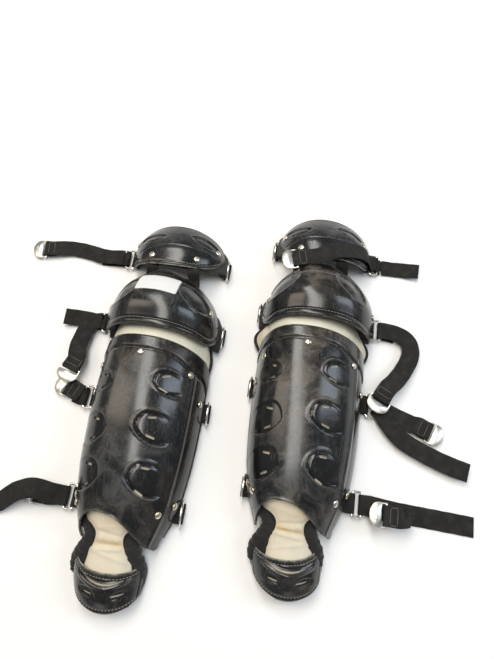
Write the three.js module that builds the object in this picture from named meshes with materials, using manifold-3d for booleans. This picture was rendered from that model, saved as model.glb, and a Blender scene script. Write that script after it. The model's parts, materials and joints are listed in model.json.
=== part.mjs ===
// A pair of leg guards with a thigh plate, a knee cap, a shin shell and a foot flap on each leg, lying face up on
// the floor with their straps unhooked. Millimetres; +Y runs from the toes to the thigh, +X to the right, +Z up.
// Each guard is drawn in a frame of its own: x = 0 on its centre line, y = 0 at the arch over the ankle, z = 0 on
// the floor. The pair's origin is on the floor, at the centre of the pair's outline.
import * as THREE from "three";
import { mergeVertices } from "three/addons/utils/BufferGeometryUtils.js";
import Module from "manifold-3d";

const { Vector3, Matrix4, Quaternion, Group, Mesh, Shape, Path, BufferGeometry, Float32BufferAttribute } = THREE;
const wasm = await Module();
wasm.setup();

// ---- Driving dimensions -------------------------------------------------------------------------------------
const SHIN_LENGTH = 222; // crest of the shin shell, from the ankle arch to the top edge
const KNEE_LENGTH = 98; // crest of the knee cap
const THIGH_LENGTH = 84; // crest of the thigh plate
const GUARD_HALF_WIDTH = 77; // half the width of the shin shell at the calf
const CREST_HEIGHT = 84; // of the shin shell at the calf
const SHELL_WALL = 3; // moulded plastic
const COLLAR_WALL = 2;
const PAD_WALL = 10; // foam under the shells
const CLEARANCE = 0.6; // between faces that lie on each other
const WEB_WIDTH = 25.4;
const WEB_WALL = 1.6; // webbing that is fixed to the guard
const STRAP_WALL = 2; // elastic strap
const WIRE_RADIUS = 1.5; // rings
const WIRE_CLEARANCE = 0.5; // between a ring and the webbing folded round it
const BAR_HEIGHT = 7; // of the rings' bars over the floor
const BAR_OVERHANG = 6; // of the strap rings' bars past the shell's side
const D_BAR_OVERHANG = 3; // of the D-rings' bars past the shell's side
const RING_REACH = 12; // from bar to bar of a strap ring
const D_RING_REACH = 17; // from the bar to the bow's crown
const RIVET_HEAD_RADIUS = 4.6;
const RIVET_HEAD_HEIGHT = 1.8;
const RIVET_SHANK_RADIUS = 2;
const RIVET_HOLE_RADIUS = 2.5;
const RIVET_LIFT = 0.6; // under a head, for the curve of the shell
const VENT_LENGTH = 15;
const VENT_WIDTH = 2.6;
const HOOK_WALL = 1.6;
const HOOK_LENGTH = 21;
const HOOK_MOUTH = 4.8; // gap under the plate for a ring's wire
const HOOK_SLOT = 4.6;
const HOOK_SLOT_PLAY = 0.7; // at each edge of the strap
const HOOK_ARM = 2.1; // of the plate, beside the slot
const HOOK_BAR = 2.4; // of the plate, behind the slot
const FOOT_HALF_WIDTH = 47;
const TOE_HEIGHT = 24;
const CREST_LEAN = -12; // of the shin shell, to the left
const PAIR_SPACING = 214; // between the guards' centre lines
const PAIR_STAGGER = 45; // of the right guard, up the leg

// Depths below a shell's outer face: webbing and pad lie under the shell, the collar between them.
const WEB_INSET = SHELL_WALL + COLLAR_WALL + 2 * CLEARANCE + WEB_WALL / 2;
const PAD_INSET = WEB_INSET + WEB_WALL / 2 + CLEARANCE;
const WEB_WRAP = WIRE_RADIUS + WIRE_CLEARANCE + WEB_WALL / 2;
const STRAP_WRAP = WIRE_RADIUS + WIRE_CLEARANCE + STRAP_WALL / 2;
const HOOK_WIDTH = WEB_WIDTH + 2 * (HOOK_SLOT_PLAY + HOOK_ARM);
const D_RING_RISE = (87 * Math.PI) / 180; // of a D-ring, pushed up against the shell's side
const UP = new Vector3(0, 0, 1);
const ALONG = new Vector3(0, 1, 0);

// ---- Finishes -----------------------------------------------------------------------------------------------
const finish = (color, roughness, metalness = 0) => new THREE.MeshStandardMaterial({ color, roughness, metalness });
const shellBlack = finish(0x17181a, 0.38);
const collarIvory = finish(0xcfc8b2, 0.55);
const linerCream = finish(0xd9cdb2, 0.85);
const padBlack = finish(0x1d1c1b, 0.9);
const webBlack = finish(0x1a1a18, 0.88);
const steel = finish(0xb9b4a8, 0.3, 1);

// ---- Solids -------------------------------------------------------------------------------------------------
const vector = (p) => (p.isVector3 ? p.clone() : new Vector3(...p));

function closedMesh(points, triangles) {
  const geometry = new BufferGeometry();
  geometry.setAttribute("position", new Float32BufferAttribute(points.flatMap((p) => [p.x, p.y, p.z]), 3));
  geometry.setIndex(triangles);
  return geometry;
}

// A sheet between two faces that are functions of (u, v): u runs to +X and v to +Y.
function sheet(outer, inner, across, along) {
  const points = [];
  const triangles = [];
  for (const face of [outer, inner])
    for (let j = 0; j <= along; j++) for (let i = 0; i <= across; i++) points.push(face(i / across, j / along));
  const row = across + 1;
  const under = row * (along + 1);
  const quad = (a, b, c, d) => triangles.push(a, b, c, a, c, d);
  for (let j = 0; j < along; j++)
    for (let i = 0; i < across; i++) {
      const k = j * row + i;
      quad(k, k + 1, k + 1 + row, k + row);
      quad(under + k, under + k + row, under + k + 1 + row, under + k + 1);
    }
  for (let i = 0; i < across; i++) {
    const top = along * row + i;
    quad(under + i, under + i + 1, i + 1, i);
    quad(top, top + 1, under + top + 1, under + top);
  }
  for (let j = 0; j < along; j++) {
    const left = j * row;
    const right = left + across;
    quad(left, left + row, under + left + row, under + left);
    quad(right, under + right, under + right + row, right + row);
  }
  return closedMesh(points, triangles);
}

// A strip of webbing through stations [point, direction of its width].
function ribbon(stations, width, wall) {
  const points = [];
  const triangles = [];
  let previous = vector(stations[0][1]);
  stations.forEach(([p, w], i) => {
    const before = vector(stations[Math.max(i - 1, 0)][0]);
    const after = vector(stations[Math.min(i + 1, stations.length - 1)][0]);
    const half = vector(w).normalize();
    if (half.dot(previous) < 0) half.negate();
    previous = half.clone();
    const face = after.sub(before).cross(half).normalize().multiplyScalar(wall / 2);
    half.multiplyScalar(width / 2);
    for (const [side, over] of [[1, 1], [-1, 1], [-1, -1], [1, -1]])
      points.push(vector(p).addScaledVector(half, side).addScaledVector(face, over));
  });
  for (let i = 0; i < stations.length - 1; i++)
    for (let k = 0; k < 4; k++) {
      const a = 4 * i + k;
      const b = 4 * i + ((k + 1) % 4);
      triangles.push(a, b, b + 4, a, b + 4, a + 4);
    }
  const end = 4 * (stations.length - 1);
  triangles.push(0, 2, 1, 0, 3, 2, end, end + 1, end + 2, end, end + 2, end + 3);
  return closedMesh(points, triangles);
}

// A closed loop of round wire through the corners of a flat outline in the XY plane.
function wireLoop(outline, radius, sides = 6) {
  const points = [];
  const triangles = [];
  const count = outline.length;
  outline.forEach((p, i) => {
    const to = outline[(i + 1) % count].clone().sub(p).normalize();
    const from = p.clone().sub(outline[(i + count - 1) % count]).normalize();
    const mitre = from.clone().add(to).normalize();
    const stretch = radius / Math.max(mitre.dot(to), 0.5);
    for (let k = 0; k < sides; k++) {
      const turn = (2 * Math.PI * (k + 0.5)) / sides;
      const side = Math.cos(turn) * stretch;
      points.push(new Vector3(p.x + mitre.y * side, p.y - mitre.x * side, Math.sin(turn) * radius));
    }
  });
  for (let i = 0; i < count; i++)
    for (let k = 0; k < sides; k++) {
      const next = ((i + 1) % count) * sides;
      const a = i * sides + k;
      const b = i * sides + ((k + 1) % sides);
      const c = next + ((k + 1) % sides);
      const d = next + k;
      triangles.push(a, c, b, a, d, c);
    }
  return closedMesh(points, triangles);
}

function solidOf(geometry) {
  const bare = geometry.clone();
  for (const name of ["normal", "uv"]) if (bare.getAttribute(name)) bare.deleteAttribute(name);
  const merged = mergeVertices(bare, 1e-4);
  return new wasm.Manifold(
    new wasm.Mesh({
      numProp: 3,
      vertProperties: new Float32Array(merged.attributes.position.array),
      triVerts: new Uint32Array(merged.index.array),
    }),
  );
}

function geometryOf(solid) {
  const made = solid.getMesh();
  const geometry = new BufferGeometry();
  const points = [];
  for (let i = 0; i < made.numVert; i++)
    points.push(...made.vertProperties.subarray(i * made.numProp, i * made.numProp + 3));
  geometry.setAttribute("position", new Float32BufferAttribute(points, 3));
  geometry.setIndex([...made.triVerts]);
  return geometry;
}

const cut = (geometry, tools) =>
  geometryOf(tools.reduce((left, tool) => left.subtract(solidOf(tool)), solidOf(geometry)));
const join = (geometries) => geometryOf(geometries.map(solidOf).reduce((sum, solid) => sum.add(solid)));

// A box from its lowest to its highest corner.
function boxBetween(low, high) {
  const size = vector(high).sub(vector(low));
  return new THREE.BoxGeometry(size.x, size.y, size.z).translate(
    ...vector(low).addScaledVector(size, 0.5).toArray(),
  );
}

// Moves geometry drawn round the Z axis to a place, with Z turned to a direction.
function stand(geometry, at, direction) {
  const turn = new Quaternion().setFromUnitVectors(UP, vector(direction).normalize());
  return geometry.applyMatrix4(new Matrix4().compose(vector(at), turn, new Vector3(1, 1, 1)));
}

// ---- The guard's arched mouldings ----------------------------------------------------------------------------
// A value that changes smoothly with y, through the given stations [y, value].
function profile(stations) {
  const slope = stations.map((_, i) => {
    const a = stations[Math.max(i - 1, 0)];
    const b = stations[Math.min(i + 1, stations.length - 1)];
    return (b[1] - a[1]) / (b[0] - a[0]);
  });
  return (y) => {
    let i = stations.findIndex((s) => s[0] > y) - 1;
    if (i === -2) i = stations.length - 2;
    if (i < 0) i = 0;
    const [y0, v0] = stations[i];
    const [y1, v1] = stations[i + 1];
    const span = y1 - y0;
    const t = THREE.MathUtils.clamp((y - y0) / span, 0, 1);
    const keep = (1 + 2 * t) * (1 - t) ** 2;
    return keep * v0 + (1 - keep) * v1 + span * (slope[i] * t * (1 - t) ** 2 - slope[i + 1] * t * t * (1 - t));
  };
}

const crown = (u, power = 1) => Math.sin(Math.PI * u) ** power;

// The places that the four mouldings share.
const SHIN_TOP = SHIN_LENGTH;
const KNEE_FOLD = SHIN_TOP + 8; // where the shin pad and knee pad meet
const KNEE_BOTTOM = SHIN_TOP + 15;
const KNEE_TOP = KNEE_BOTTOM + KNEE_LENGTH;
const THIGH_BOTTOM = KNEE_TOP + 11;
const THIGH_TOP = THIGH_BOTTOM + THIGH_LENGTH;
const FOOT_FOLD = -30; // where the tongue meets the foot pad
const FOOT_TOP = -64;
const FOOT_BOTTOM = -110;

// Each moulding: half its width and its height as functions of y, how far its crest leans to +X, how near the
// floor its edges come (as a share of the arch), and its lower and upper edges as functions of u.
const shin = {
  halfWidth: profile([
    [-30, GUARD_HALF_WIDTH - 27],
    [5, GUARD_HALF_WIDTH - 13],
    [30, GUARD_HALF_WIDTH - 7],
    [75, GUARD_HALF_WIDTH - 2],
    [135, GUARD_HALF_WIDTH],
    [SHIN_TOP, GUARD_HALF_WIDTH - 2],
    [KNEE_BOTTOM + 20, GUARD_HALF_WIDTH - 6],
  ]),
  height: profile([
    [-30, CREST_HEIGHT - 32],
    [0, CREST_HEIGHT - 21],
    [60, CREST_HEIGHT - 9],
    [140, CREST_HEIGHT],
    [SHIN_TOP, CREST_HEIGHT - 2],
    [KNEE_BOTTOM + 20, CREST_HEIGHT - 9],
  ]),
  lean: CREST_LEAN,
  edge: 6.3 / CREST_HEIGHT,
  low: (u) => -30 + 30 * crown(u, 0.8),
  high: (u) => SHIN_TOP - 22 * (1 - crown(u)),
};
const knee = {
  halfWidth: profile([
    [KNEE_FOLD - 4, GUARD_HALF_WIDTH],
    [KNEE_BOTTOM + 25, GUARD_HALF_WIDTH + 2],
    [KNEE_BOTTOM + 53, GUARD_HALF_WIDTH - 5],
    [KNEE_TOP - 25, GUARD_HALF_WIDTH - 17],
    [KNEE_TOP - 10, GUARD_HALF_WIDTH - 31],
    [KNEE_TOP, GUARD_HALF_WIDTH - 44],
  ]),
  height: profile([
    [KNEE_FOLD - 4, CREST_HEIGHT + 2],
    [KNEE_BOTTOM + 8, CREST_HEIGHT + 5],
    [KNEE_BOTTOM + 35, CREST_HEIGHT + 11],
    [KNEE_TOP - 33, CREST_HEIGHT],
    [KNEE_TOP - 14, CREST_HEIGHT - 18],
    [KNEE_TOP, CREST_HEIGHT - 33],
  ]),
  lean: -8,
  edge: 7.14 / CREST_HEIGHT,
  low: (u) => KNEE_FOLD - 2 + (KNEE_BOTTOM - KNEE_FOLD + 2) * crown(u),
  high: (u) => KNEE_BOTTOM + 25 + (KNEE_LENGTH - 25) * crown(u, 0.5),
};
const thigh = {
  halfWidth: profile([
    [THIGH_BOTTOM - 4, GUARD_HALF_WIDTH - 12],
    [THIGH_BOTTOM + 18, GUARD_HALF_WIDTH - 8],
    [THIGH_BOTTOM + 40, GUARD_HALF_WIDTH - 8],
    [THIGH_TOP - 25, GUARD_HALF_WIDTH - 15],
    [THIGH_TOP - 10, GUARD_HALF_WIDTH - 27],
    [THIGH_TOP, GUARD_HALF_WIDTH - 42],
  ]),
  height: profile([
    [THIGH_BOTTOM - 4, CREST_HEIGHT - 19],
    [THIGH_BOTTOM + 30, CREST_HEIGHT - 21],
    [THIGH_TOP - 30, CREST_HEIGHT - 32],
    [THIGH_TOP, CREST_HEIGHT - 50],
  ]),
  lean: -4,
  edge: 8.4 / CREST_HEIGHT,
  low: (u) => THIGH_BOTTOM + 14 * (1 - crown(u, 0.7)),
  high: (u) => THIGH_BOTTOM + 40 + (THIGH_LENGTH - 40) * crown(u, 0.6),
};
const INSTEP_HEIGHT = shin.height(FOOT_FOLD) - 6; // of the foot flap, where the tongue meets it
const foot = {
  halfWidth: profile([
    [FOOT_BOTTOM - 6, FOOT_HALF_WIDTH - 21],
    [FOOT_BOTTOM, FOOT_HALF_WIDTH - 16],
    [FOOT_BOTTOM + 12, FOOT_HALF_WIDTH - 8],
    [FOOT_BOTTOM + 35, FOOT_HALF_WIDTH - 2],
    [FOOT_TOP + 12, FOOT_HALF_WIDTH],
    [FOOT_FOLD, FOOT_HALF_WIDTH - 5],
  ]),
  height: profile([
    [FOOT_BOTTOM - 6, TOE_HEIGHT - 5],
    [FOOT_BOTTOM, TOE_HEIGHT],
    [FOOT_BOTTOM + 18, (TOE_HEIGHT + INSTEP_HEIGHT) / 2 + 1],
    [FOOT_TOP, INSTEP_HEIGHT - 2],
    [FOOT_FOLD, INSTEP_HEIGHT],
  ]),
  lean: -4,
  edge: 0.12,
  low: (u) => FOOT_TOP + 8 - (FOOT_TOP + 8 - FOOT_BOTTOM) * crown(u, 0.6),
  high: (u) => FOOT_TOP + 26 * (1 - crown(u, 1.4)),
};

// A point of a moulding's arch: u = 0 at its left foot, 0.5 at the crest, 1 at its right foot.
function arch(part, y, u, inset = 0) {
  const angle = Math.PI * u;
  const half = part.halfWidth(y) - inset;
  const tall = part.height(y) - inset;
  const across = Math.sign(0.5 - u) * Math.abs(Math.cos(angle)) ** 0.85;
  return new Vector3(-half * across + part.lean * Math.sin(angle) ** 2, y, tall * Math.sin(angle));
}

function archNormal(part, y, u, inset = 0) {
  const acrossArch = arch(part, y, u + 0.01, inset).sub(arch(part, y, u - 0.01, inset));
  const alongArch = arch(part, y + 1, u, inset).sub(arch(part, y - 1, u, inset));
  return acrossArch.cross(alongArch).normalize();
}

// The moulding as a sheet `wall` thick, its outer face `inset` below the shell's. `bevel` draws the inner face's
// upper edge back, to leave room for a fold.
function moulding(part, form) {
  const { inset = 0, wall, edge = part.edge, low = part.low, high = part.high, bevel = 0, across, along } = form;
  const face = (depth, back) => (s, v) => {
    const u = edge + (1 - 2 * edge) * s;
    return arch(part, THREE.MathUtils.lerp(low(u), high(u) - back, v), u, depth);
  };
  return sheet(face(inset, 0), face(inset + wall, bevel), across, along);
}

// ---- Rivets and vents ----------------------------------------------------------------------------------------
const onArch = (part, u, y) => ({ at: arch(part, y, u), out: archNormal(part, y, u) });

// The place on the arch over a point (x, y) of the plan.
function overPlan(part, x, y) {
  let low = 0.02;
  let high = 0.98;
  for (let k = 0; k < 40; k++) {
    const u = (low + high) / 2;
    if (arch(part, y, u).x < x) low = u;
    else high = u;
  }
  return onArch(part, (low + high) / 2, y);
}

// A rivet that rises from `depth` below the shell's face and ends in a head on it.
function rivet(place, depth) {
  const outline = [
    [0, -depth],
    [RIVET_SHANK_RADIUS, -depth],
    [RIVET_SHANK_RADIUS, RIVET_LIFT],
    [RIVET_HEAD_RADIUS, RIVET_LIFT],
    [RIVET_HEAD_RADIUS * 0.6, RIVET_LIFT + RIVET_HEAD_HEIGHT],
    [0, RIVET_LIFT + RIVET_HEAD_HEIGHT],
  ].map(([r, z]) => new THREE.Vector2(r, z));
  return stand(new THREE.LatheGeometry(outline, 6).rotateX(Math.PI / 2), place.at, place.out);
}

function rivetHole(place) {
  const drill = new THREE.CylinderGeometry(RIVET_HOLE_RADIUS, RIVET_HOLE_RADIUS, 16, 6).rotateX(Math.PI / 2);
  return stand(drill, place.at, place.out);
}

// A slot through a shell, turned by `turn` degrees from the line across the guard.
function vent(part, x, y, turn, length = VENT_LENGTH) {
  const place = overPlan(part, x, y);
  const blade = new THREE.BoxGeometry(length, VENT_WIDTH, 14).rotateZ(THREE.MathUtils.degToRad(turn));
  return stand(blade, place.at, place.out);
}

// ---- Webbing that crosses a guard under its shell and holds a ring at each side -------------------------------
// The bar that the webbing is folded round, on one side of the guard.
const barPlace = (part, y, side, overhang) => new Vector3(side * (part.halfWidth(y) + overhang), y, BAR_HEIGHT);

// Half a turn round a bar, from below to above, on the side that it faces.
function halfTurn(centre, outward, radius, steps = 5) {
  const points = [];
  for (let k = 0; k <= steps; k++) {
    const angle = -Math.PI / 2 + (Math.PI * k) / steps;
    points.push(
      vector(centre).addScaledVector(outward, radius * Math.cos(angle)).addScaledVector(UP, radius * Math.sin(angle)),
    );
  }
  return points;
}

const WEB_STEPS = 14;
function crossWebbing(part, y, strapSide, rivets) {
  const flat = (p) => [p, ALONG];
  const sloped = (side) => new Vector3(side * (part.halfWidth(y + 4) - part.halfWidth(y - 4)), 8, 0);
  const end = (side) => {
    const outward = new Vector3(side, 0, 0);
    const bar = barPlace(part, y, side, side === strapSide ? BAR_OVERHANG : D_BAR_OVERHANG);
    const half = part.halfWidth(y);
    return [
      new Vector3(side * (half - WEB_INSET + 4.5), y, BAR_HEIGHT - WEB_WRAP),
      ...halfTurn(bar, outward, WEB_WRAP),
      new Vector3(side * (half - WEB_INSET + 3.4), y, BAR_HEIGHT + WEB_WRAP + 0.2),
    ]
      .map(flat)
      .concat([[new Vector3(side * (half - WEB_INSET + 0.8), y, BAR_HEIGHT + WEB_WRAP + 2.4), sloped(side)]]);
  };
  const middle = [];
  for (let k = 0; k <= WEB_STEPS; k++) {
    const u = THREE.MathUtils.lerp(0.085, 0.915, k / WEB_STEPS);
    middle.push([arch(part, y, u, WEB_INSET), arch(part, y + 4, u, WEB_INSET).sub(arch(part, y - 4, u, WEB_INSET))]);
  }
  const band = ribbon([...end(-1), ...middle, ...end(1).reverse()], WEB_WIDTH, WEB_WALL);
  return join([band, ...rivets.map((place) => rivet(place, WEB_INSET))]);
}

// ---- Rings, hooks and straps ----------------------------------------------------------------------------------
// Outlines start at the bar's middle on the Y axis; the ring reaches to +X.
function cornered(points) {
  return points.map(([x, y]) => new THREE.Vector2(x, y));
}

const RING_HALF = WEB_WIDTH / 2 + 3;
const strapRing = () =>
  wireLoop(
    cornered([
      [0, RING_HALF - 2], [2, RING_HALF], [RING_REACH - 2, RING_HALF], [RING_REACH, RING_HALF - 2],
      [RING_REACH, 2 - RING_HALF], [RING_REACH - 2, -RING_HALF], [2, -RING_HALF], [0, 2 - RING_HALF],
    ]),
    WIRE_RADIUS,
  );
function dRing() {
  const bow = [];
  for (let k = 0; k <= 6; k++) {
    const angle = Math.PI / 2 - (Math.PI * k) / 6;
    bow.push([3 + (D_RING_REACH - 3) * Math.cos(angle), RING_HALF * Math.sin(angle)]);
  }
  return wireLoop(cornered([[0, RING_HALF - 2], ...bow, [0, 2 - RING_HALF]]), WIRE_RADIUS);
}

// A stamped hook: a plate with a slot for the strap and a lip folded back under its round end. The slot's bar lies
// along Y at the origin and the plate reaches to +X.
function hook() {
  const half = HOOK_WIDTH / 2;
  const nose = HOOK_LENGTH - half * 0.7;
  const outline = new Shape();
  outline.moveTo(-HOOK_BAR / 2, -half);
  outline.lineTo(nose, -half);
  outline.ellipse(0, half, half * 0.7, half, -Math.PI / 2, Math.PI / 2, false, 0);
  outline.lineTo(-HOOK_BAR / 2, half);
  outline.closePath();
  const slot = new Path();
  const slotHalf = WEB_WIDTH / 2 + HOOK_SLOT_PLAY;
  slot.moveTo(HOOK_BAR / 2, -slotHalf);
  slot.lineTo(HOOK_BAR / 2 + HOOK_SLOT, -slotHalf);
  slot.lineTo(HOOK_BAR / 2 + HOOK_SLOT, slotHalf);
  slot.lineTo(HOOK_BAR / 2, slotHalf);
  slot.closePath();
  outline.holes.push(slot);
  const plate = new THREE.ExtrudeGeometry(outline, { depth: HOOK_WALL, bevelEnabled: false, curveSegments: 6 });
  const centre = new Vector3(HOOK_LENGTH - 5, 0, -HOOK_MOUTH / 2);
  const turn = halfTurn(centre, new Vector3(1, 0, 0), (HOOK_MOUTH + HOOK_WALL) / 2, 4);
  const under = centre.clone().add(new Vector3(-6.5, 0, -(HOOK_MOUTH + HOOK_WALL) / 2));
  const over = centre.clone().add(new Vector3(-4, 0, (HOOK_MOUTH + HOOK_WALL) / 2));
  const lip = ribbon([under, ...turn, over].map((p) => [p, ALONG]), 14, HOOK_WALL);
  return join([plate.translate(0, 0, -HOOK_WALL / 2), lip.translate(0, 0, -HOOK_WALL / 2)]);
}
const HOOK_REST = HOOK_MOUTH + 1.5 * HOOK_WALL + 0.3; // height of the plate over what its lip lies on
const HOOK_WRAP = HOOK_BAR / 2 + 0.5 + STRAP_WALL / 2;
const SEAM = 16; // length of the strap that is folded back at the hook and sewn

// The stretch of a strap that ends round a hook's bar: it comes in on top and is folded back underneath.
function hookEnd(at, heading) {
  const forward = vector(heading).normalize();
  const widthway = new Vector3(-forward.y, forward.x, 0);
  const round = halfTurn(at, forward, HOOK_WRAP).reverse();
  const arrive = vector(at).addScaledVector(forward, -SEAM).addScaledVector(UP, HOOK_WRAP);
  const leave = vector(at).addScaledVector(forward, -SEAM).addScaledVector(UP, HOOK_WRAP - STRAP_WALL - 0.4);
  return [arrive, ...round, leave].map((p) => [p, widthway]);
}

// Stations of a strap that lies nearly flat through points [x, y, z].
function run(points) {
  return points.map((p, i) => {
    const before = points[Math.max(i - 1, 0)];
    const after = points[Math.min(i + 1, points.length - 1)];
    return [p, [before[1] - after[1], after[0] - before[0], 0]];
  });
}

// The fold of a strap round a ring's outer bar: in from the tail below the bar, out to the hook above it.
function ringFold(bar, outward) {
  const inward = vector(outward).negate();
  return halfTurn(bar, inward, STRAP_WRAP).map((p) => [p, ALONG]);
}

const VENT_HIGHEST = SHIN_TOP - 57;
const VENT_LOWEST = 43;
const VENT_ROWS = [VENT_HIGHEST, (VENT_HIGHEST + VENT_LOWEST) / 2, VENT_LOWEST];
const VENT_SPREAD = GUARD_HALF_WIDTH - 36;
const VENT_GAP = 22; // between the two slots of a pair
const TONGUE_HEIGHT = shin.height(FOOT_FOLD) - PAD_INSET; // of its upper face where it meets the foot pad

// The liner's lower edge: side skirts, then notches, then the tongue between them.
function linerFoot(u) {
  const off = Math.abs(u - 0.5);
  if (off < 0.16) return FOOT_FOLD;
  if (off < 0.31) return 12;
  return -20;
}

// The webbing link: two strips under the gap between knee cap and thigh plate, joined by a strip across.
const LINK_SIDES = [43 - GUARD_HALF_WIDTH, GUARD_HALF_WIDTH - 47];
const LINK_WIDTH = 17;
const LINK_REACH = 12; // of the strips, up under the thigh plate
const LINK_SAG = CREST_HEIGHT / 105; // how far the arch bends away from a flat strip
const LINK_END = KNEE_TOP - 14; // where the strips meet the knee pad, on the fold between knee and thigh
const LINK_HEIGHT = knee.height(LINK_END) * (13 / 22); // under the knee cap's slope
function thighLink(rivets) {
  const depth = SHELL_WALL + CLEARANCE + WEB_WALL / 2 + LINK_SAG;
  const below = (x, y) => {
    const { at, out } = overPlan(thigh, x, y);
    return { at: at.addScaledVector(out, -depth), across: ALONG.clone().cross(out) };
  };
  const strips = LINK_SIDES.map((x) => {
    const behind = [LINK_REACH - 8, LINK_REACH - 4, LINK_REACH].map((up) => below(x, THIGH_BOTTOM + up));
    return ribbon(
      [
        [[x, LINK_END + 0.3, LINK_HEIGHT], [1, 0, 0]],
        [[x, LINK_END + 8, LINK_HEIGHT + 1], [1, 0, 0]],
        ...behind.map(({ at, across }) => [at, across]),
      ],
      LINK_WIDTH,
      WEB_WALL,
    );
  });
  const tie = [];
  for (let k = 0; k <= 6; k++) {
    const x = THREE.MathUtils.lerp(LINK_SIDES[0], LINK_SIDES[1], k / 6);
    tie.push([below(x, THIGH_BOTTOM + 8).at, ALONG]);
  }
  return join([...strips, ribbon(tie, 7, WEB_WALL), ...rivets.map((place) => rivet(place, depth))]);
}

// ---- One guard -------------------------------------------------------------------------------------------------
// A body that turns about `pivot`; what is added to it is drawn in the guard's own frame.
function turning(parent, name, pivot, axis) {
  const group = new Group();
  group.name = name;
  group.userData.axis = axis;
  group.position.copy(vector(pivot)).sub(parent.userData.pivot ?? new Vector3());
  group.userData.pivot = vector(pivot);
  parent.add(group);
  return group;
}

function add(body, name, geometry, material, place) {
  const mesh = new Mesh(geometry, material);
  mesh.name = name;
  if (place) mesh.applyMatrix4(place);
  mesh.position.sub(body.userData.pivot ?? new Vector3());
  body.add(mesh);
}

const turnedAboutZ = (at, heading) =>
  new Matrix4().makeRotationZ(Math.atan2(heading[1], heading[0])).setPosition(vector(at));

// The middles of the cross webbings: the thigh's lies above the link, and the knee's below the cap's highest point.
const WEB_AT = {
  thigh: THIGH_BOTTOM + LINK_REACH + 1.3 + WEB_WIDTH / 2,
  knee: KNEE_BOTTOM + 37.7 - WEB_WIDTH / 2,
  calf: SHIN_TOP - 75,
  ankle: 14,
};

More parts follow.
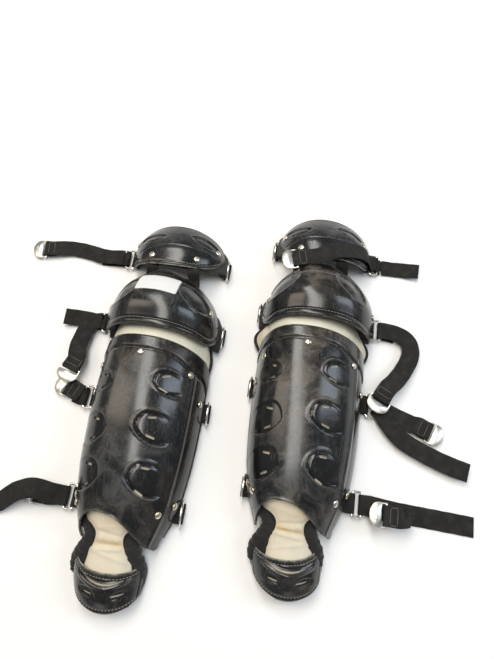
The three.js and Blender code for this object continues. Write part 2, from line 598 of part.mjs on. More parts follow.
// `side` is -1 where the straps leave to the left. `lay` gives, for each strap, the stations of its tail and of the
// stretch to its hook, and the hook's place and heading.
function guard(name, side, lay) {
  const body = new Group();
  body.name = name + "_shin";
  const lifting = [0, -side, 0];
  const folding = [-1, 0, 0];
  const kneeBody = turning(body, name + "_knee", [0, KNEE_FOLD + 0.15, 0], folding);
  const thighBody = turning(kneeBody, name + "_thigh", [0, LINK_END, LINK_HEIGHT], folding);
  const footBody = turning(body, name + "_foot", [0, FOOT_FOLD - 0.15, TONGUE_HEIGHT], folding);

  // Shin: shell, ivory collar above it, cream liner with the ankle tongue.
  const collarRivets = [
    [CREST_LEAN, SHIN_TOP - 22],
    [GUARD_HALF_WIDTH - 23, SHIN_TOP - 37],
    [11 - GUARD_HALF_WIDTH, SHIN_TOP - 40],
  ].map(([x, y]) => overPlan(shin, x, y));
  const calfRivets = [[0.86, 6], [0.13, 3]].map(([u, up]) => onArch(shin, u, WEB_AT.calf + up));
  const ankleRivets = [[0.87, 7], [0.13, 4], [0.77, -6], [0.21, -5]].map(([u, up]) =>
    onArch(shin, u, WEB_AT.ankle + up),
  );
  const vents = [];
  for (const y of VENT_ROWS)
    for (const [x, high, low] of [[shin.lean + VENT_SPREAD, 8, -28], [shin.lean - VENT_SPREAD, 4, 30]])
      vents.push(vent(shin, x, y + VENT_GAP / 2, high), vent(shin, x + (high - 6) / 2, y - VENT_GAP / 2, low));
  const shell = moulding(shin, { wall: SHELL_WALL, across: 14, along: 7 });
  const holes = [...collarRivets, ...calfRivets, ...ankleRivets].map(rivetHole);
  add(body, name + "_shin_shell", cut(shell, [...vents, ...holes]), shellBlack);
  const collar = moulding(shin, {
    inset: SHELL_WALL + CLEARANCE, wall: COLLAR_WALL, edge: 0.12, across: 12, along: 3,
    low: () => SHIN_TOP - 48,
    high: (u) => KNEE_FOLD - 2 + 32 * crown(u),
  });
  const collarDepth = SHELL_WALL + CLEARANCE + COLLAR_WALL / 2;
  add(body, name + "_collar", join([collar, ...collarRivets.map((r) => rivet(r, collarDepth))]), collarIvory);
  const liner = moulding(shin, {
    inset: PAD_INSET, wall: PAD_WALL - 2, edge: 0, across: 14, along: 5,
    low: (u) => linerFoot(u),
    high: () => KNEE_FOLD,
  });
  add(body, name + "_shin_liner", liner, linerCream);
  add(body, name + "_calf_webbing", crossWebbing(shin, WEB_AT.calf, side, calfRivets), webBlack);
  add(body, name + "_ankle_webbing", crossWebbing(shin, WEB_AT.ankle, side, ankleRivets), webBlack);

  // Knee: domed cap over a pad.
  const kneeRivets = [0.15, 0.85].map((u) => onArch(knee, u, WEB_AT.knee + 4));
  const cap = moulding(knee, { wall: SHELL_WALL, across: 14, along: 6 });
  add(kneeBody, name + "_knee_cap", cut(cap, kneeRivets.map(rivetHole)), shellBlack);
  const kneePad = moulding(knee, {
    inset: PAD_INSET, wall: PAD_WALL, edge: 0, across: 14, along: 5,
    low: (u) => KNEE_FOLD + 0.3 + 36 * crown(u),
    high: (u) => knee.high(u) - 2,
  });
  const linkRoom = LINK_SIDES.map((x) =>
    boxBetween(
      [x - LINK_WIDTH / 2 - 1, LINK_END - 0.3, LINK_HEIGHT - 24],
      [x + LINK_WIDTH / 2 + 1, KNEE_TOP + 9, LINK_HEIGHT + 31],
    ),
  );
  add(kneeBody, name + "_knee_pad", cut(kneePad, linkRoom), padBlack);
  add(kneeBody, name + "_knee_webbing", crossWebbing(knee, WEB_AT.knee, side, kneeRivets), webBlack);

  // Thigh: plate, pad, and the link that hinges it to the knee cap.
  const thighRivets = [0.18, 0.82].map((u) => onArch(thigh, u, WEB_AT.thigh + 3));
  const linkRivets = LINK_SIDES.map((x) => overPlan(thigh, x, THIGH_BOTTOM + 8));
  const plate = moulding(thigh, { wall: SHELL_WALL, across: 12, along: 5 });
  add(thighBody, name + "_thigh_plate", cut(plate, [...thighRivets, ...linkRivets].map(rivetHole)), shellBlack);
  const thighPad = moulding(thigh, {
    inset: PAD_INSET, wall: PAD_WALL, edge: 0, across: 12, along: 4,
    low: (u) => thigh.low(u) + 2,
    high: (u) => thigh.high(u) + 3,
  });
  add(thighBody, name + "_thigh_pad", thighPad, padBlack);
  add(thighBody, name + "_thigh_webbing", crossWebbing(thigh, WEB_AT.thigh, side, thighRivets), webBlack);
  add(thighBody, name + "_thigh_link", thighLink(linkRivets), webBlack);

  // Foot: pad and flap.
  const footPlate = moulding(foot, { wall: SHELL_WALL, across: 12, along: 7 });
  const footVents = [[0, FOOT_TOP - 14, 0, 44], [-22, FOOT_TOP - 26, -24, 13], [20, FOOT_TOP - 28, 16, 18]];
  add(footBody, name + "_foot_plate",
    cut(footPlate, footVents.map(([x, y, turn, length]) => vent(foot, x, y, turn, length))), shellBlack);
  const footPad = moulding(foot, {
    inset: SHELL_WALL + 2 * CLEARANCE, wall: PAD_WALL, edge: 0, across: 12, along: 7,
    low: (u) => foot.low(u) - 5,
    high: (u) => FOOT_FOLD - 0.3 - 22 * (1 - crown(u, 0.7)),
    bevel: 9,
  });
  add(footBody, name + "_foot_pad", footPad, padBlack);

  // Straps on the outer side, rings for their hooks on the inner side.
  const levels = [["thigh", thighBody, thigh], ["knee", kneeBody, knee], ["calf", body, shin], ["ankle", body, shin]];
  for (const [level, parent, part] of levels) {
    const y = WEB_AT[level];
    const near = barPlace(part, y, side, BAR_OVERHANG);
    const far = near.clone().add(new Vector3(side * RING_REACH, 0, 0));
    const strapBody = turning(parent, `${name}_${level}_strap`, near, lifting);
    const facing = side < 0 ? Math.PI : 0;
    add(strapBody, `${name}_${level}_strap_ring`, strapRing(), steel,
      new Matrix4().makeRotationZ(facing).setPosition(near));
    const { stations, hookAt, heading } = lay[level](far, side);
    add(strapBody, `${name}_${level}_strap_web`, ribbon(stations, WEB_WIDTH, STRAP_WALL), webBlack);
    const hookBody = turning(strapBody, `${name}_${level}_hook`, hookAt, [heading[1], -heading[0], 0]);
    add(hookBody, `${name}_${level}_hook_plate`, hook(), steel, turnedAboutZ(hookAt, heading));
    const bar = barPlace(part, y, -side, D_BAR_OVERHANG);
    const ringBody = turning(parent, `${name}_${level}_ring`, bar, [0, side, 0]);
    const raised = new Matrix4().makeRotationY(-D_RING_RISE);
    const place = new Matrix4().makeRotationZ(Math.PI - facing).multiply(raised).setPosition(bar);
    add(ringBody, `${name}_${level}_d_ring`, dRing(), steel, place);
  }
  return body;
}

// ---- The straps as they lie -------------------------------------------------------------------------------------
// Each lay is given the middle of its ring's far bar. It returns the strap's stations from the tip of its tail,
// round the bar, to its hook, with the hook's place and heading. `reach` is how far a point lies outside the shell.
const onLeft = (reach) => -GUARD_HALF_WIDTH - reach;
const onRight = (reach) => GUARD_HALF_WIDTH + reach;
const over = (bar, out) => ringFold(bar, [out, 0, 0]);
const under = (bar, out) => over(bar, out).reverse();
const strapTo = (tail, fold, path, hookAt, heading) => ({
  stations: [...run(tail), ...fold, ...run(path), ...hookEnd(hookAt, heading)],
  hookAt,
  heading,
});
const FLAT = STRAP_WALL / 2 + 0.3; // height of a strap's middle where it lies on the floor
const HOOK_ON_STRAP = 2 * HOOK_REST + 4.5; // height of a hook that lies on another strap's hook

const leftLay = {
  thigh: (bar, out) =>
    strapTo(
      [[onLeft(51), bar.y - 1, FLAT], [onLeft(31), bar.y, 1.8], [onLeft(20), bar.y, 3.2]],
      over(bar, out),
      [[onLeft(20), bar.y, 10], [onLeft(48), bar.y, 6.4], [onLeft(73), bar.y + 5, 4.5],
        [onLeft(101), bar.y + 7, 5.5]],
      [onLeft(142), bar.y - 1, HOOK_REST],
      [-1, -0.15],
    ),
  knee: (bar, out) =>
    strapTo(
      [[onLeft(81), bar.y, 9], [onLeft(53), bar.y + 2, 3.5], [onLeft(30), bar.y, 2.9]],
      over(bar, out),
      [[onLeft(25), bar.y, 10.5], [onLeft(34), bar.y - 4, 11], [onLeft(41), bar.y - 14, 12],
        [onLeft(44), bar.y - 30, 14], [onLeft(44), bar.y - 48, 18.5]],
      [onLeft(45), bar.y - 80, HOOK_ON_STRAP],
      [-0.3, -0.95],
    ),
  calf: (bar, out) =>
    strapTo(
      [[onLeft(35), bar.y + 3, FLAT], [onLeft(26), bar.y + 1, 2.6]],
      over(bar, out),
      [],
      [onLeft(44), bar.y + 10, HOOK_REST],
      [-0.93, 0.37],
    ),
  ankle: (bar, out) =>
    strapTo(
      [[onLeft(115), bar.y - 30, FLAT + 1], [onLeft(91), bar.y - 19, 7], [onLeft(70), bar.y - 5, 19],
        [onLeft(47), bar.y + 3, 25], [onLeft(28), bar.y + 1, 18], [onLeft(17), bar.y, 11.5]],
      under(bar, out),
      [[onLeft(14), bar.y, 4.3], [onLeft(19), bar.y, 5.6]],
      [onLeft(45), bar.y - 1, HOOK_REST],
      [-1, 0.05],
    ),
};

// A point over the thigh plate, for the strap that lies across it.
function lifted(u, y, lift) {
  const { at, out } = onArch(thigh, u, y);
  return at.addScaledVector(out, lift).toArray();
}

const rightLay = {
  thigh: (bar, out) =>
    strapTo(
      [[onRight(75), bar.y - 2, 9], [onRight(51), bar.y, 3.5], [onRight(27), bar.y, 2.6]],
      over(bar, out),
      [[onRight(6), bar.y, 13.5], lifted(0.92, bar.y - 1, 7), lifted(0.84, bar.y - 3, 7),
        lifted(0.76, bar.y - 6, 6.5), lifted(0.67, bar.y - 12, 6), lifted(0.57, bar.y - 20, 6),
        [knee.lean, THIGH_BOTTOM - 6, CREST_HEIGHT - 15]],
      [knee.lean - (32 / 77) * GUARD_HALF_WIDTH, THIGH_BOTTOM - 13, CREST_HEIGHT - 19.5],
      [-0.97, -0.25],
    ),
  knee: (bar, out) =>
    strapTo(
      [[onRight(43), bar.y - 2, FLAT], [onRight(30), bar.y, 2.4]],
      over(bar, out),
      [[onRight(26), bar.y, 10], [onRight(41), bar.y - 1, 9], [onRight(55), bar.y - 6, 9],
        [onRight(64), bar.y - 17, 9.5], [onRight(65), bar.y - 33, 11], [onRight(59), bar.y - 50, 13],
        [onRight(50), bar.y - 67, 17], [onRight(41), bar.y - 80, 20.5]],
      [onRight(24), bar.y - 106, HOOK_ON_STRAP],
      [-0.45, -0.9],
    ),
  calf: (bar, out) => {
    const beside = bar.y - 28.6 - WEB_WIDTH; // the tail lies beside the stretch to the hook
    return strapTo(
      [[onRight(145), beside - 19, 11], [onRight(128), beside - 15, 10], [onRight(108), beside - 9, 9],
        [onRight(83), beside, 9], [onRight(56), beside + 13, 9.5], [onRight(37), bar.y - 22, 10.5],
        [onRight(26), bar.y - 6, 11]],
      under(bar, out),
      [[onRight(25), bar.y - 1, 4], [onRight(48), bar.y - 9, 2.6], [onRight(69), bar.y - 17, 6]],
      [onRight(93), bar.y - 25, HOOK_REST],
      [0.93, -0.37],
    );
  },
  ankle: (bar, out) =>
    strapTo(
      [[onRight(154), bar.y - 6, FLAT], [onRight(103), bar.y - 4, FLAT], [onRight(53), bar.y - 2, FLAT],
        [onRight(29), bar.y, 1.9], [onRight(19), bar.y, 3]],
      over(bar, out),
      [[onRight(19), bar.y, 10.5], [onRight(35), bar.y - 3, 11.5], [onRight(50), bar.y - 6, 14],
        [onRight(59), bar.y - 8, 19.5], [onRight(59), bar.y - 9, 26], [onRight(53), bar.y - 10, 30]],
      [onRight(35), bar.y - 10, 28],
      [-1, 0.02],
    ),
};

// ---- The pair ----------------------------------------------------------------------------------------------------
const pair = new Group();
pair.name = "leg_guards";
const left = guard("left", -1, leftLay);
const right = guard("right", 1, rightLay);
right.position.set(PAIR_SPACING, PAIR_STAGGER, 0);
const grounded = new Group().add(left, right);
const outline = new THREE.Box3().setFromObject(grounded, true);
grounded.position.set(-(outline.min.x + outline.max.x) / 2, -(outline.min.y + outline.max.y) / 2, -outline.min.z);
pair.add(grounded);

export default pair;
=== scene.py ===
import json
import math

import bpy
import numpy as np
from mathutils import Matrix, Vector


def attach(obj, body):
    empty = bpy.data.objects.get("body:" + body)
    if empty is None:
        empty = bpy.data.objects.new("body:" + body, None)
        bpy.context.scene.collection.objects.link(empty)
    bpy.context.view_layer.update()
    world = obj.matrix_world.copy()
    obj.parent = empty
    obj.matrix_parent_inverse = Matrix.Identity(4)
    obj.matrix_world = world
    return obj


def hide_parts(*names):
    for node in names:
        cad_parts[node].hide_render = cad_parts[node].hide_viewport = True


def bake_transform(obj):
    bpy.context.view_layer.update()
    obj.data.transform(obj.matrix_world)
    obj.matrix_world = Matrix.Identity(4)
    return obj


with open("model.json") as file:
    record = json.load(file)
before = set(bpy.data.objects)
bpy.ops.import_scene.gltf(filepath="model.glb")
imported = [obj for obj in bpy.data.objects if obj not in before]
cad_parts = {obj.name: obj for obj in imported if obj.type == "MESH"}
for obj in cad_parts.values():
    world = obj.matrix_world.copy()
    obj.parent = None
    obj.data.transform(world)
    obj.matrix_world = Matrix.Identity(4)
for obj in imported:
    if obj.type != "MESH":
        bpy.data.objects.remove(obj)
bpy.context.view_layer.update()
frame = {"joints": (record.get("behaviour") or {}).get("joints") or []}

# ---- Shin shells ---------------------------------------------------------------------------------
# The longest plate of a leg guard, from ankle to knee, injection-moulded in black plastic. It has a
# raised lip along its top, a wing ridge down its outer side, and three pairs of D-shaped recesses,
# each with two slots that let air through to the cream liner.

# A guard is drawn in millimetres in a frame of its own: x = 0 on its centre line, y = 0 at the
# ankle arch, z = 0 on the floor. GUARDS holds the place of each guard's frame.
KNEE_FOLD = 230.15  # y of the knee's joint
OUTER = {"left": -1, "right": 1}  # the side that the straps are on
GUARDS = {}
for joint in frame["joints"]:
    if joint["name"].endswith("_knee_fold"):
        guard = joint["name"].split("_")[0]
        GUARDS[guard] = np.array(joint["pos_m"]) * 1000 - (0, KNEE_FOLD, 0)


def profile(*stations):
    """A value that changes smoothly with y through the stations (y, value)."""
    at, value = (np.array(column, float) for column in zip(*stations))
    last = len(at) - 1
    before, after = np.clip([np.arange(last + 1) - 1, np.arange(last + 1) + 1], 0, last)
    slope = (value[after] - value[before]) / (at[after] - at[before])

    def of(y):
        i = np.clip(np.searchsorted(at, y, side="right") - 1, 0, last - 1)
        span = at[i + 1] - at[i]
        t = np.clip((y - at[i]) / span, 0, 1)
        keep = (1 + 2 * t) * (1 - t) ** 2
        bend = span * (slope[i] * t * (1 - t) ** 2 - slope[i + 1] * t * t * (1 - t))
        return keep * value[i] + (1 - keep) * value[i + 1] + bend

    return of


def crown(u, power=1.0):
    return np.sin(np.pi * np.clip(u, 0, 1)) ** power


def rise(value, low, high):
    """0 below low, 1 above high, and smooth between them; it falls if low is the greater."""
    t = np.clip((value - low) / (high - low), 0, 1)
    return t * t * (3 - 2 * t)


def bead(away, width):
    """1 on a line, and next to nothing two widths away from it."""
    return np.exp(-((away / width) ** 2))


class Arch:
    """A moulding's arch: u = 0 at its left foot, 0.5 at the crest and 1 at its right foot."""

    def __init__(self, half, tall, lean, edge, low, high, middle=lambda y: 0 * y):
        self.half, self.tall, self.lean, self.edge = half, tall, lean, edge
        self.low, self.high, self.middle = low, high, middle

    def at(self, y, u, depth=0.0):
        y, u = np.broadcast_arrays(np.asarray(y, float), np.asarray(u, float))
        angle = np.pi * u
        across = np.sign(0.5 - u) * np.abs(np.cos(angle)) ** 0.85
        x = self.middle(y) - (self.half(y) - depth) * across + self.lean * np.sin(angle) ** 2
        return np.stack([x, y, (self.tall(y) - depth) * np.sin(angle)], -1)

    def out(self, y, u):
        side = self.at(y, np.asarray(u) + 0.012) - self.at(y, np.asarray(u) - 0.012)
        up = self.at(np.asarray(y) + 1.5, u) - self.at(np.asarray(y) - 1.5, u)
        normal = np.cross(side, up)
        return normal / np.linalg.norm(normal, axis=-1, keepdims=True)

    def widened(self, more, aside):
        """The same arch, wider by more on each side and moved aside."""
        return Arch(lambda y: self.half(y) + more, self.tall, self.lean, self.edge,
                    self.low, self.high, lambda y: 0 * y + aside)

    def share(self, u):
        """How far u is on the way from the moulding's left edge to its right one."""
        return (u - self.edge) / (1 - 2 * self.edge)

    def from_side(self, u, girth):
        """Millimetres in from the nearer side edge, on an arch of this girth."""
        return np.minimum(u - self.edge, 1 - self.edge - u) * girth

    def over(self, x, y):
        """u where the arch stands over the point (x, y) of the plan."""
        x, y = np.broadcast_arrays(np.asarray(x, float), np.asarray(y, float))
        low, high = np.full(x.shape, 0.02), np.full(x.shape, 0.98)
        for _ in range(30):
            middle = (low + high) / 2
            left = self.at(y, middle)[..., 0] < x
            low, high = np.where(left, middle, low), np.where(left, high, middle)
        return (low + high) / 2


SHIN = Arch(
    half=profile((-30, 50), (5, 64), (30, 70), (75, 75), (135, 77), (222, 75), (257, 71)),
    tall=profile((-30, 52), (0, 63), (60, 75), (140, 84), (222, 82), (257, 75)),
    lean=-12, edge=0.075,
    low=lambda u: -35 + 37 * np.exp(-(((u - 0.44) / 0.243) ** 2)),
    high=lambda u: 225 - 20 * (1 - crown(u)),
)

class Value:
    """A number or vector in a material; arithmetic on it adds Math nodes."""

    def __init__(self, finish, socket):
        self.finish, self.socket = finish, socket

    def _with(self, operation, *values):
        return self.finish.node("Math", {"operation": operation}, dict(enumerate(values)))

    def __add__(self, other):
        return self._with("ADD", self, other)

    def __sub__(self, other):
        return self._with("SUBTRACT", self, other)

    def __rsub__(self, other):
        return self._with("SUBTRACT", other, self)

    def __mul__(self, other):
        return self._with("MULTIPLY", self, other)

    __radd__ = __add__
    __rmul__ = __mul__


class Finish:
    """A material built from nodes round one Principled shader."""

    def __init__(self, name):
        self.material = bpy.data.materials.new(name)
        self.material.use_nodes = True
        self.tree = self.material.node_tree
        self.tree.nodes.clear()
        self.output = self.tree.nodes.new("ShaderNodeOutputMaterial")

    def put(self, socket, value):
        if isinstance(value, Value):
            self.tree.links.new(value.socket, socket)
        elif isinstance(value, (tuple, list)) and len(value) == 3 and socket.type == "RGBA":
            socket.default_value = (*value, 1)
        else:
            socket.default_value = value

    def node(self, kind, settings=None, values=None, output=0):
        made = self.tree.nodes.new("ShaderNode" + kind)
        for name, setting in (settings or {}).items():
            if name == "stops":
                ramp = made.color_ramp
                while len(ramp.elements) < len(setting):
                    ramp.elements.new(1)
                for element, (position, colour) in zip(ramp.elements, setting):
                    element.position, element.color = position, (*colour, 1)
            else:
                setattr(made, name, setting)
        for name, value in (values or {}).items():
            self.put(made.inputs[name], value)
        return Value(self, made.outputs[output])

    def place(self, turn=(0, 0, 0), scale=(1, 1, 1)):
        here = self.node("TexCoord", output="Object")
        turn = tuple(math.radians(angle) for angle in turn)
        return self.node("Mapping", {}, {"Vector": here, "Rotation": turn, "Scale": scale})

    def noise(self, scale, detail=2.0, rough=0.5, place=None, twist=0.0):
        where = place or self.place()
        return self.node("TexNoise", {}, {"Vector": where, "Scale": scale, "Detail": detail,
                                          "Roughness": rough, "Distortion": twist})

    def between(self, value, low, high, start=0.0, end=1.0):
        return self.node("MapRange", {"interpolation_type": "SMOOTHSTEP"}, {
            "Value": value, "From Min": low, "From Max": high, "To Min": start, "To Max": end})

    def drawn(self, name):
        return self.node("Attribute", {"attribute_name": name}, output="Fac")

    def mix(self, share, first, second):
        return self.node("Mix", {"data_type": "RGBA"}, {0: share, 6: first, 7: second}, output=2)

    def bump(self, height, depth, strength=1.0):
        return self.node("Bump", {}, {"Height": height, "Distance": depth, "Strength": strength})

    def shade(self, **values):
        shader = self.tree.nodes.new("ShaderNodeBsdfPrincipled")
        for name, value in values.items():
            self.put(shader.inputs[name.replace("_", " ")], value)
        self.tree.links.new(shader.outputs[0], self.output.inputs[0])
        return self.material


# turn, stretch and width
SCRATCHES = ((38, 70, 0.655), (-52, 95, 0.66), (82, 60, 0.665), (12, 110, 0.66))
TAN_DUST_AND_SHEEN, GREY_DUST_AND_SHEEN = (0.27, 0.225, 0.175), (0.17, 0.175, 0.172)
PLASTIC_BLACK = (0.0068, 0.0070, 0.0075)


# Years of play have left dust and fine scratches on the plates, and rubbed edges. The grey on their
# high places is that dust together with a painted sheen along the crests, the pale edges are rubbed
# wear together with a painted rim highlight, and the recesses get painted shade. The right guard is
# the dustier one, with the stronger painted sheen.
def shell_plastic(name, haze):
    paint = Finish(name)
    clouds = paint.noise(34, 6, 0.66, twist=0.8)
    # The drawn mask read here is dust together with painted light: a painted sheen along the
    # crests, painted shade inside the recesses (where the mask is cut back) and a painted highlight
    # on their rims. The specks follow it.
    dust = paint.between(clouds, 0.36, 0.72) * paint.drawn("haze")
    speck = paint.between(paint.noise(420, 4, 0.72), 0.54, 0.7) * (dust + 0.12)
    fine = None
    for turn, stretch, width in SCRATCHES:
        lines = paint.noise(1.0, 1.5, 0.5, paint.place((0, 0, turn), (1700, stretch, stretch)))
        line = paint.between(lines, width, width + 0.05)
        fine = line if fine is None else fine + line
    fine = fine * paint.between(paint.noise(24, 2, 0.5), 0.42, 0.62)
    # Paler along the edges: rubbed wear together with a painted rim highlight.
    edge = paint.drawn("worn") * paint.between(paint.noise(210, 4, 0.65), 0.28, 0.62)
    grey = paint.node("Math", {"operation": "MINIMUM"}, {
        0: dust * (0.30 * haze) + speck * (0.34 * haze) + fine * 0.16 + edge * 0.6, 1: 1.0})
    # The tints are the colours of the dust and of the painted sheen.
    tint = paint.mix(paint.between(paint.noise(13, 2, 0.5), 0.4, 0.6), TAN_DUST_AND_SHEEN, GREY_DUST_AND_SHEEN)
    colour = paint.mix(grey, PLASTIC_BLACK, tint)
    rough = 0.19 + dust * 0.16 + speck * 0.15 + fine * 0.2 + edge * 0.3
    grain = paint.noise(1500, 2, 0.5) * 0.35 - fine * 0.6 + paint.noise(48, 2, 0.4) * 0.9
    return paint.shade(Base_Color=colour, Roughness=rough, Normal=paint.bump(grain, 0.00016, 0.5),
                       Specular_IOR_Level=0.42, Coat_Weight=0.3, Coat_Roughness=0.16)


DUST_AND_LIGHT_BY_GUARD = {"left": 0.85, "right": 1.2}
SHELL = {side: shell_plastic(f"{side}_shell_plastic", haze) for side, haze in DUST_AND_LIGHT_BY_GUARD.items()}
SHELL_WALL = 3


def stand(name, data):
    """An object of the scene that holds the data."""
    made = bpy.data.objects.new(name, data)
    bpy.context.scene.collection.objects.link(made)
    return made


def meshed(name, guard, points, faces):
    """A mesh in the scene's metres from points in the guard's frame."""
    mesh = bpy.data.meshes.new(name)
    spots = (np.asarray(points, float) + GUARDS[guard]) / 1000
    mesh.from_pydata(spots.tolist(), [], [tuple(map(int, face)) for face in faces])
    return mesh


def piece(name, guard, points, faces, material, body, slot, replaces=(), drawn=None):
    """A piece of a guard, riding on one of its bodies, with values drawn on its points."""
    mesh = meshed(name, guard, points, faces)
    for label, values in (drawn or {}).items():
        values = np.asarray(values, np.float32)
        mesh.attributes.new(label, "FLOAT", "POINT").data.foreach_set("value", values)
    mesh.shade_smooth()
    mesh.materials.append(material)
    made = stand(name, mesh)
    if replaces:
        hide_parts(*[f"{guard}_{node}" for node in replaces])
    if body:
        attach(made, f"{guard}_{body}")
    return made


def quads(rows, columns, start=0, turned=False):
    k = start + (np.arange(rows - 1)[:, None] * columns + np.arange(columns - 1)[None]).ravel()
    faces = np.stack([k, k + 1, k + 1 + columns, k + columns], -1)
    return faces[:, ::-1] if turned else faces


def round_trip(rows, columns):
    """The border of a grid, once round, anticlockwise from its first corner."""
    bottom = np.arange(columns)
    right = np.arange(1, rows) * columns + columns - 1
    top = (rows - 1) * columns + np.arange(columns - 2, -1, -1)
    left = np.arange(rows - 2, 0, -1) * columns
    return np.concatenate([bottom, right, top, left])


def moulded(arch, wall, across, along, relief=None, inset=lambda u: 0.0, edge=None, low=None,
            high=None, lip=0.9, span=None, dust_and_sheen=lambda u, y: 0 * y):
    """Points, faces, and masks of a closed moulding with a rounded rim: rim wear with a painted rim
    highlight, and dust with a painted sheen. relief(u, y, x, low, high) lifts its face."""
    edge = arch.edge if edge is None else edge
    low, high = low or arch.low, high or arch.high
    s, v = np.meshgrid(np.linspace(0, 1, across + 1), np.linspace(0, 1, along + 1))
    first, last = span or (edge, 1 - edge)

    def lay(s, v):
        u = first + (last - first) * s
        floor, ceiling = low(u), high(u)
        return u, floor + (ceiling - floor) * v, floor, ceiling

    width = (last - first) * np.pi * arch.half(np.mean([low(0.5), high(0.5)])) * 0.9
    length = high(0.5) - low(0.5)
    inner_s = np.clip(s, lip / width, 1 - lip / width)
    inner_v = np.clip(v, lip / length, 1 - lip / length)
    u, y, floor, ceiling = lay(inner_s, inner_v)
    face = arch.at(y, u, inset(u))
    if relief is not None:
        face = face + arch.out(y, u) * relief(u, y, face[..., 0], floor, ceiling)[..., None]
    back = arch.at(y, u, inset(u) + wall)
    border = round_trip(along + 1, across + 1)
    ur, yr, _, _ = lay(s.ravel()[border], v.ravel()[border])
    rim = arch.at(yr, ur, inset(ur) + wall / 2)
    lift = (face - arch.at(y, u, inset(u))).reshape(-1, 3)[border]
    rim = rim + lift * 0.5
    n = face[..., 0].size
    points = np.concatenate([face.reshape(-1, 3), back.reshape(-1, 3), rim])
    faces = [quads(along + 1, across + 1), quads(along + 1, across + 1, n, True)]
    k = np.arange(len(border))
    ahead = np.roll(k, -1)
    faces.append(np.stack([border[ahead], border[k], 2 * n + k, 2 * n + ahead], -1))
    faces.append(np.stack([2 * n + ahead, 2 * n + k, n + border[k], n + border[ahead]], -1))
    near = np.minimum(np.minimum(y - floor, ceiling - y), np.minimum(inner_s, 1 - inner_s) * width)
    # Paler towards every edge and on the rim itself: rubbed wear together with a painted rim
    # highlight.
    worn = np.exp(-np.clip(near, 0, None) / 1.1)
    drawn = {"worn": np.concatenate([worn.ravel(), np.zeros(n), np.full(len(border), 0.9)]),
             "haze": np.concatenate([dust_and_sheen(u, y).ravel(), np.zeros(n + len(border))])}
    return points, np.concatenate(faces), drawn


def corners(s, share, drop):
    """How far an edge draws back at each end, to round its corners."""
    t = np.clip((np.abs(s - 0.5) * 2 - (1 - share)) / share, 0, 1)
    return drop * (1 - np.sqrt(1 - np.minimum(t, 0.995) ** 2))


UP, ALONG = np.array((0.0, 0.0, 1.0)), np.array((0.0, 1.0, 0.0))


def tangents(out):
    """Two directions along a surface that faces out: across the guard and up it."""
    side = np.cross(ALONG, out)
    side /= np.linalg.norm(side)
    return side, np.cross(out, side)


def sleeve(rings, sides, closed=False, start=0):
    """Faces that join rings of points, one after the other, with end caps unless it is closed."""
    last = start + (rings - 1) * sides
    caps = [tuple(range(start, start + sides))[::-1], tuple(range(last, last + sides))]
    faces = [] if closed else caps
    for k in range(rings if closed else rings - 1):
        a, b = start + k * sides, start + (k + 1) % rings * sides
        faces += [(a + j, a + (j + 1) % sides, b + (j + 1) % sides, b + j) for j in range(sides)]
    return faces


BLADE_REACH = 9  # of a blade to each side of the face that it cuts


def cutters(name, guard, arch, slots):
    """Blades with round ends that stand through the arch: (x, y, turn, length, width, curl)."""
    points, faces = [], []
    for x, y, turn, length, width, curl in slots:
        u = arch.over(x, y)
        middle, out = arch.at(y, u), arch.out(y, u)
        side, up = tangents(out)
        c, s = math.cos(math.radians(turn)), math.sin(math.radians(turn))
        along, across = side * c + up * s, up * c - side * s
        half = (length - width) / 2
        ring = []
        for end in (1, -1):
            ring += [(end * a, -end * width / 2) for a in np.linspace(-half, half, 9)]
            ring += [(end * (half + width / 2 * math.sin(a)), -end * width / 2 * math.cos(a))
                     for a in np.linspace(0.4, 2.74, 6)]
        faces += sleeve(2, len(ring), start=len(points))
        for level in (-BLADE_REACH, BLADE_REACH):
            for a, b in ring:
                share = abs(a / (length / 2))
                b = b * (1 - 0.75 * share ** 2.5 if curl else 1) + curl * share ** 2
                points.append(middle + along * a + across * b + out * level)
    return stand(name, meshed(name, guard, points, faces))


def settle(made):
    """Applies a piece's modifiers to its mesh."""
    graph = bpy.context.evaluated_depsgraph_get()
    graph.update()
    done = bpy.data.meshes.new_from_object(
        made.evaluated_get(graph), preserve_all_data_layers=True, depsgraph=graph)
    old = made.data
    made.modifiers.clear()
    made.data = done
    bpy.data.meshes.remove(old)
    return made


def cut(made, tool, sharp=34):
    """Cuts the blades out of a piece, and keeps the cut's edges crisp."""
    modifier = made.modifiers.new("slots", "BOOLEAN")
    modifier.operation, modifier.solver, modifier.object = "DIFFERENCE", "EXACT", tool
    settle(made)
    bpy.data.objects.remove(tool)
    made.data.set_sharp_from_angle(angle=math.radians(sharp))
    return made


RECESSES = [  # middle, reach towards the crest, half its height, depth, and its side of the crest
    (28, 166, 17, 16.5, 2.6, 1), (19.5, 107, 20, 20.5, 2.8, 1), (22, 45, 20, 20.5, 2.8, 1),
    (-52, 158, 11, 14, 1.5, -1), (-50, 97, 16, 22, 1.7, -1), (-47, 42, 16, 22, 1.7, -1)]
VENTS = [  # middle, turn and length
    (27.3, 174.2, 21, 13), (26.5, 156, -17, 14), (20.5, 119, 9, 12), (21.8, 95.5, -14, 13.5),
    (23.5, 58, 0, 12), (20.8, 28.5, -26, 13), (-53, 166, -18, 9), (-53, 150, 16, 9),
    (-52, 109, -12, 12), (-52, 85, 16, 12), (-49, 54, -8, 12), (-49, 30, 20, 12)]
VENT_WIDTH = 3.0


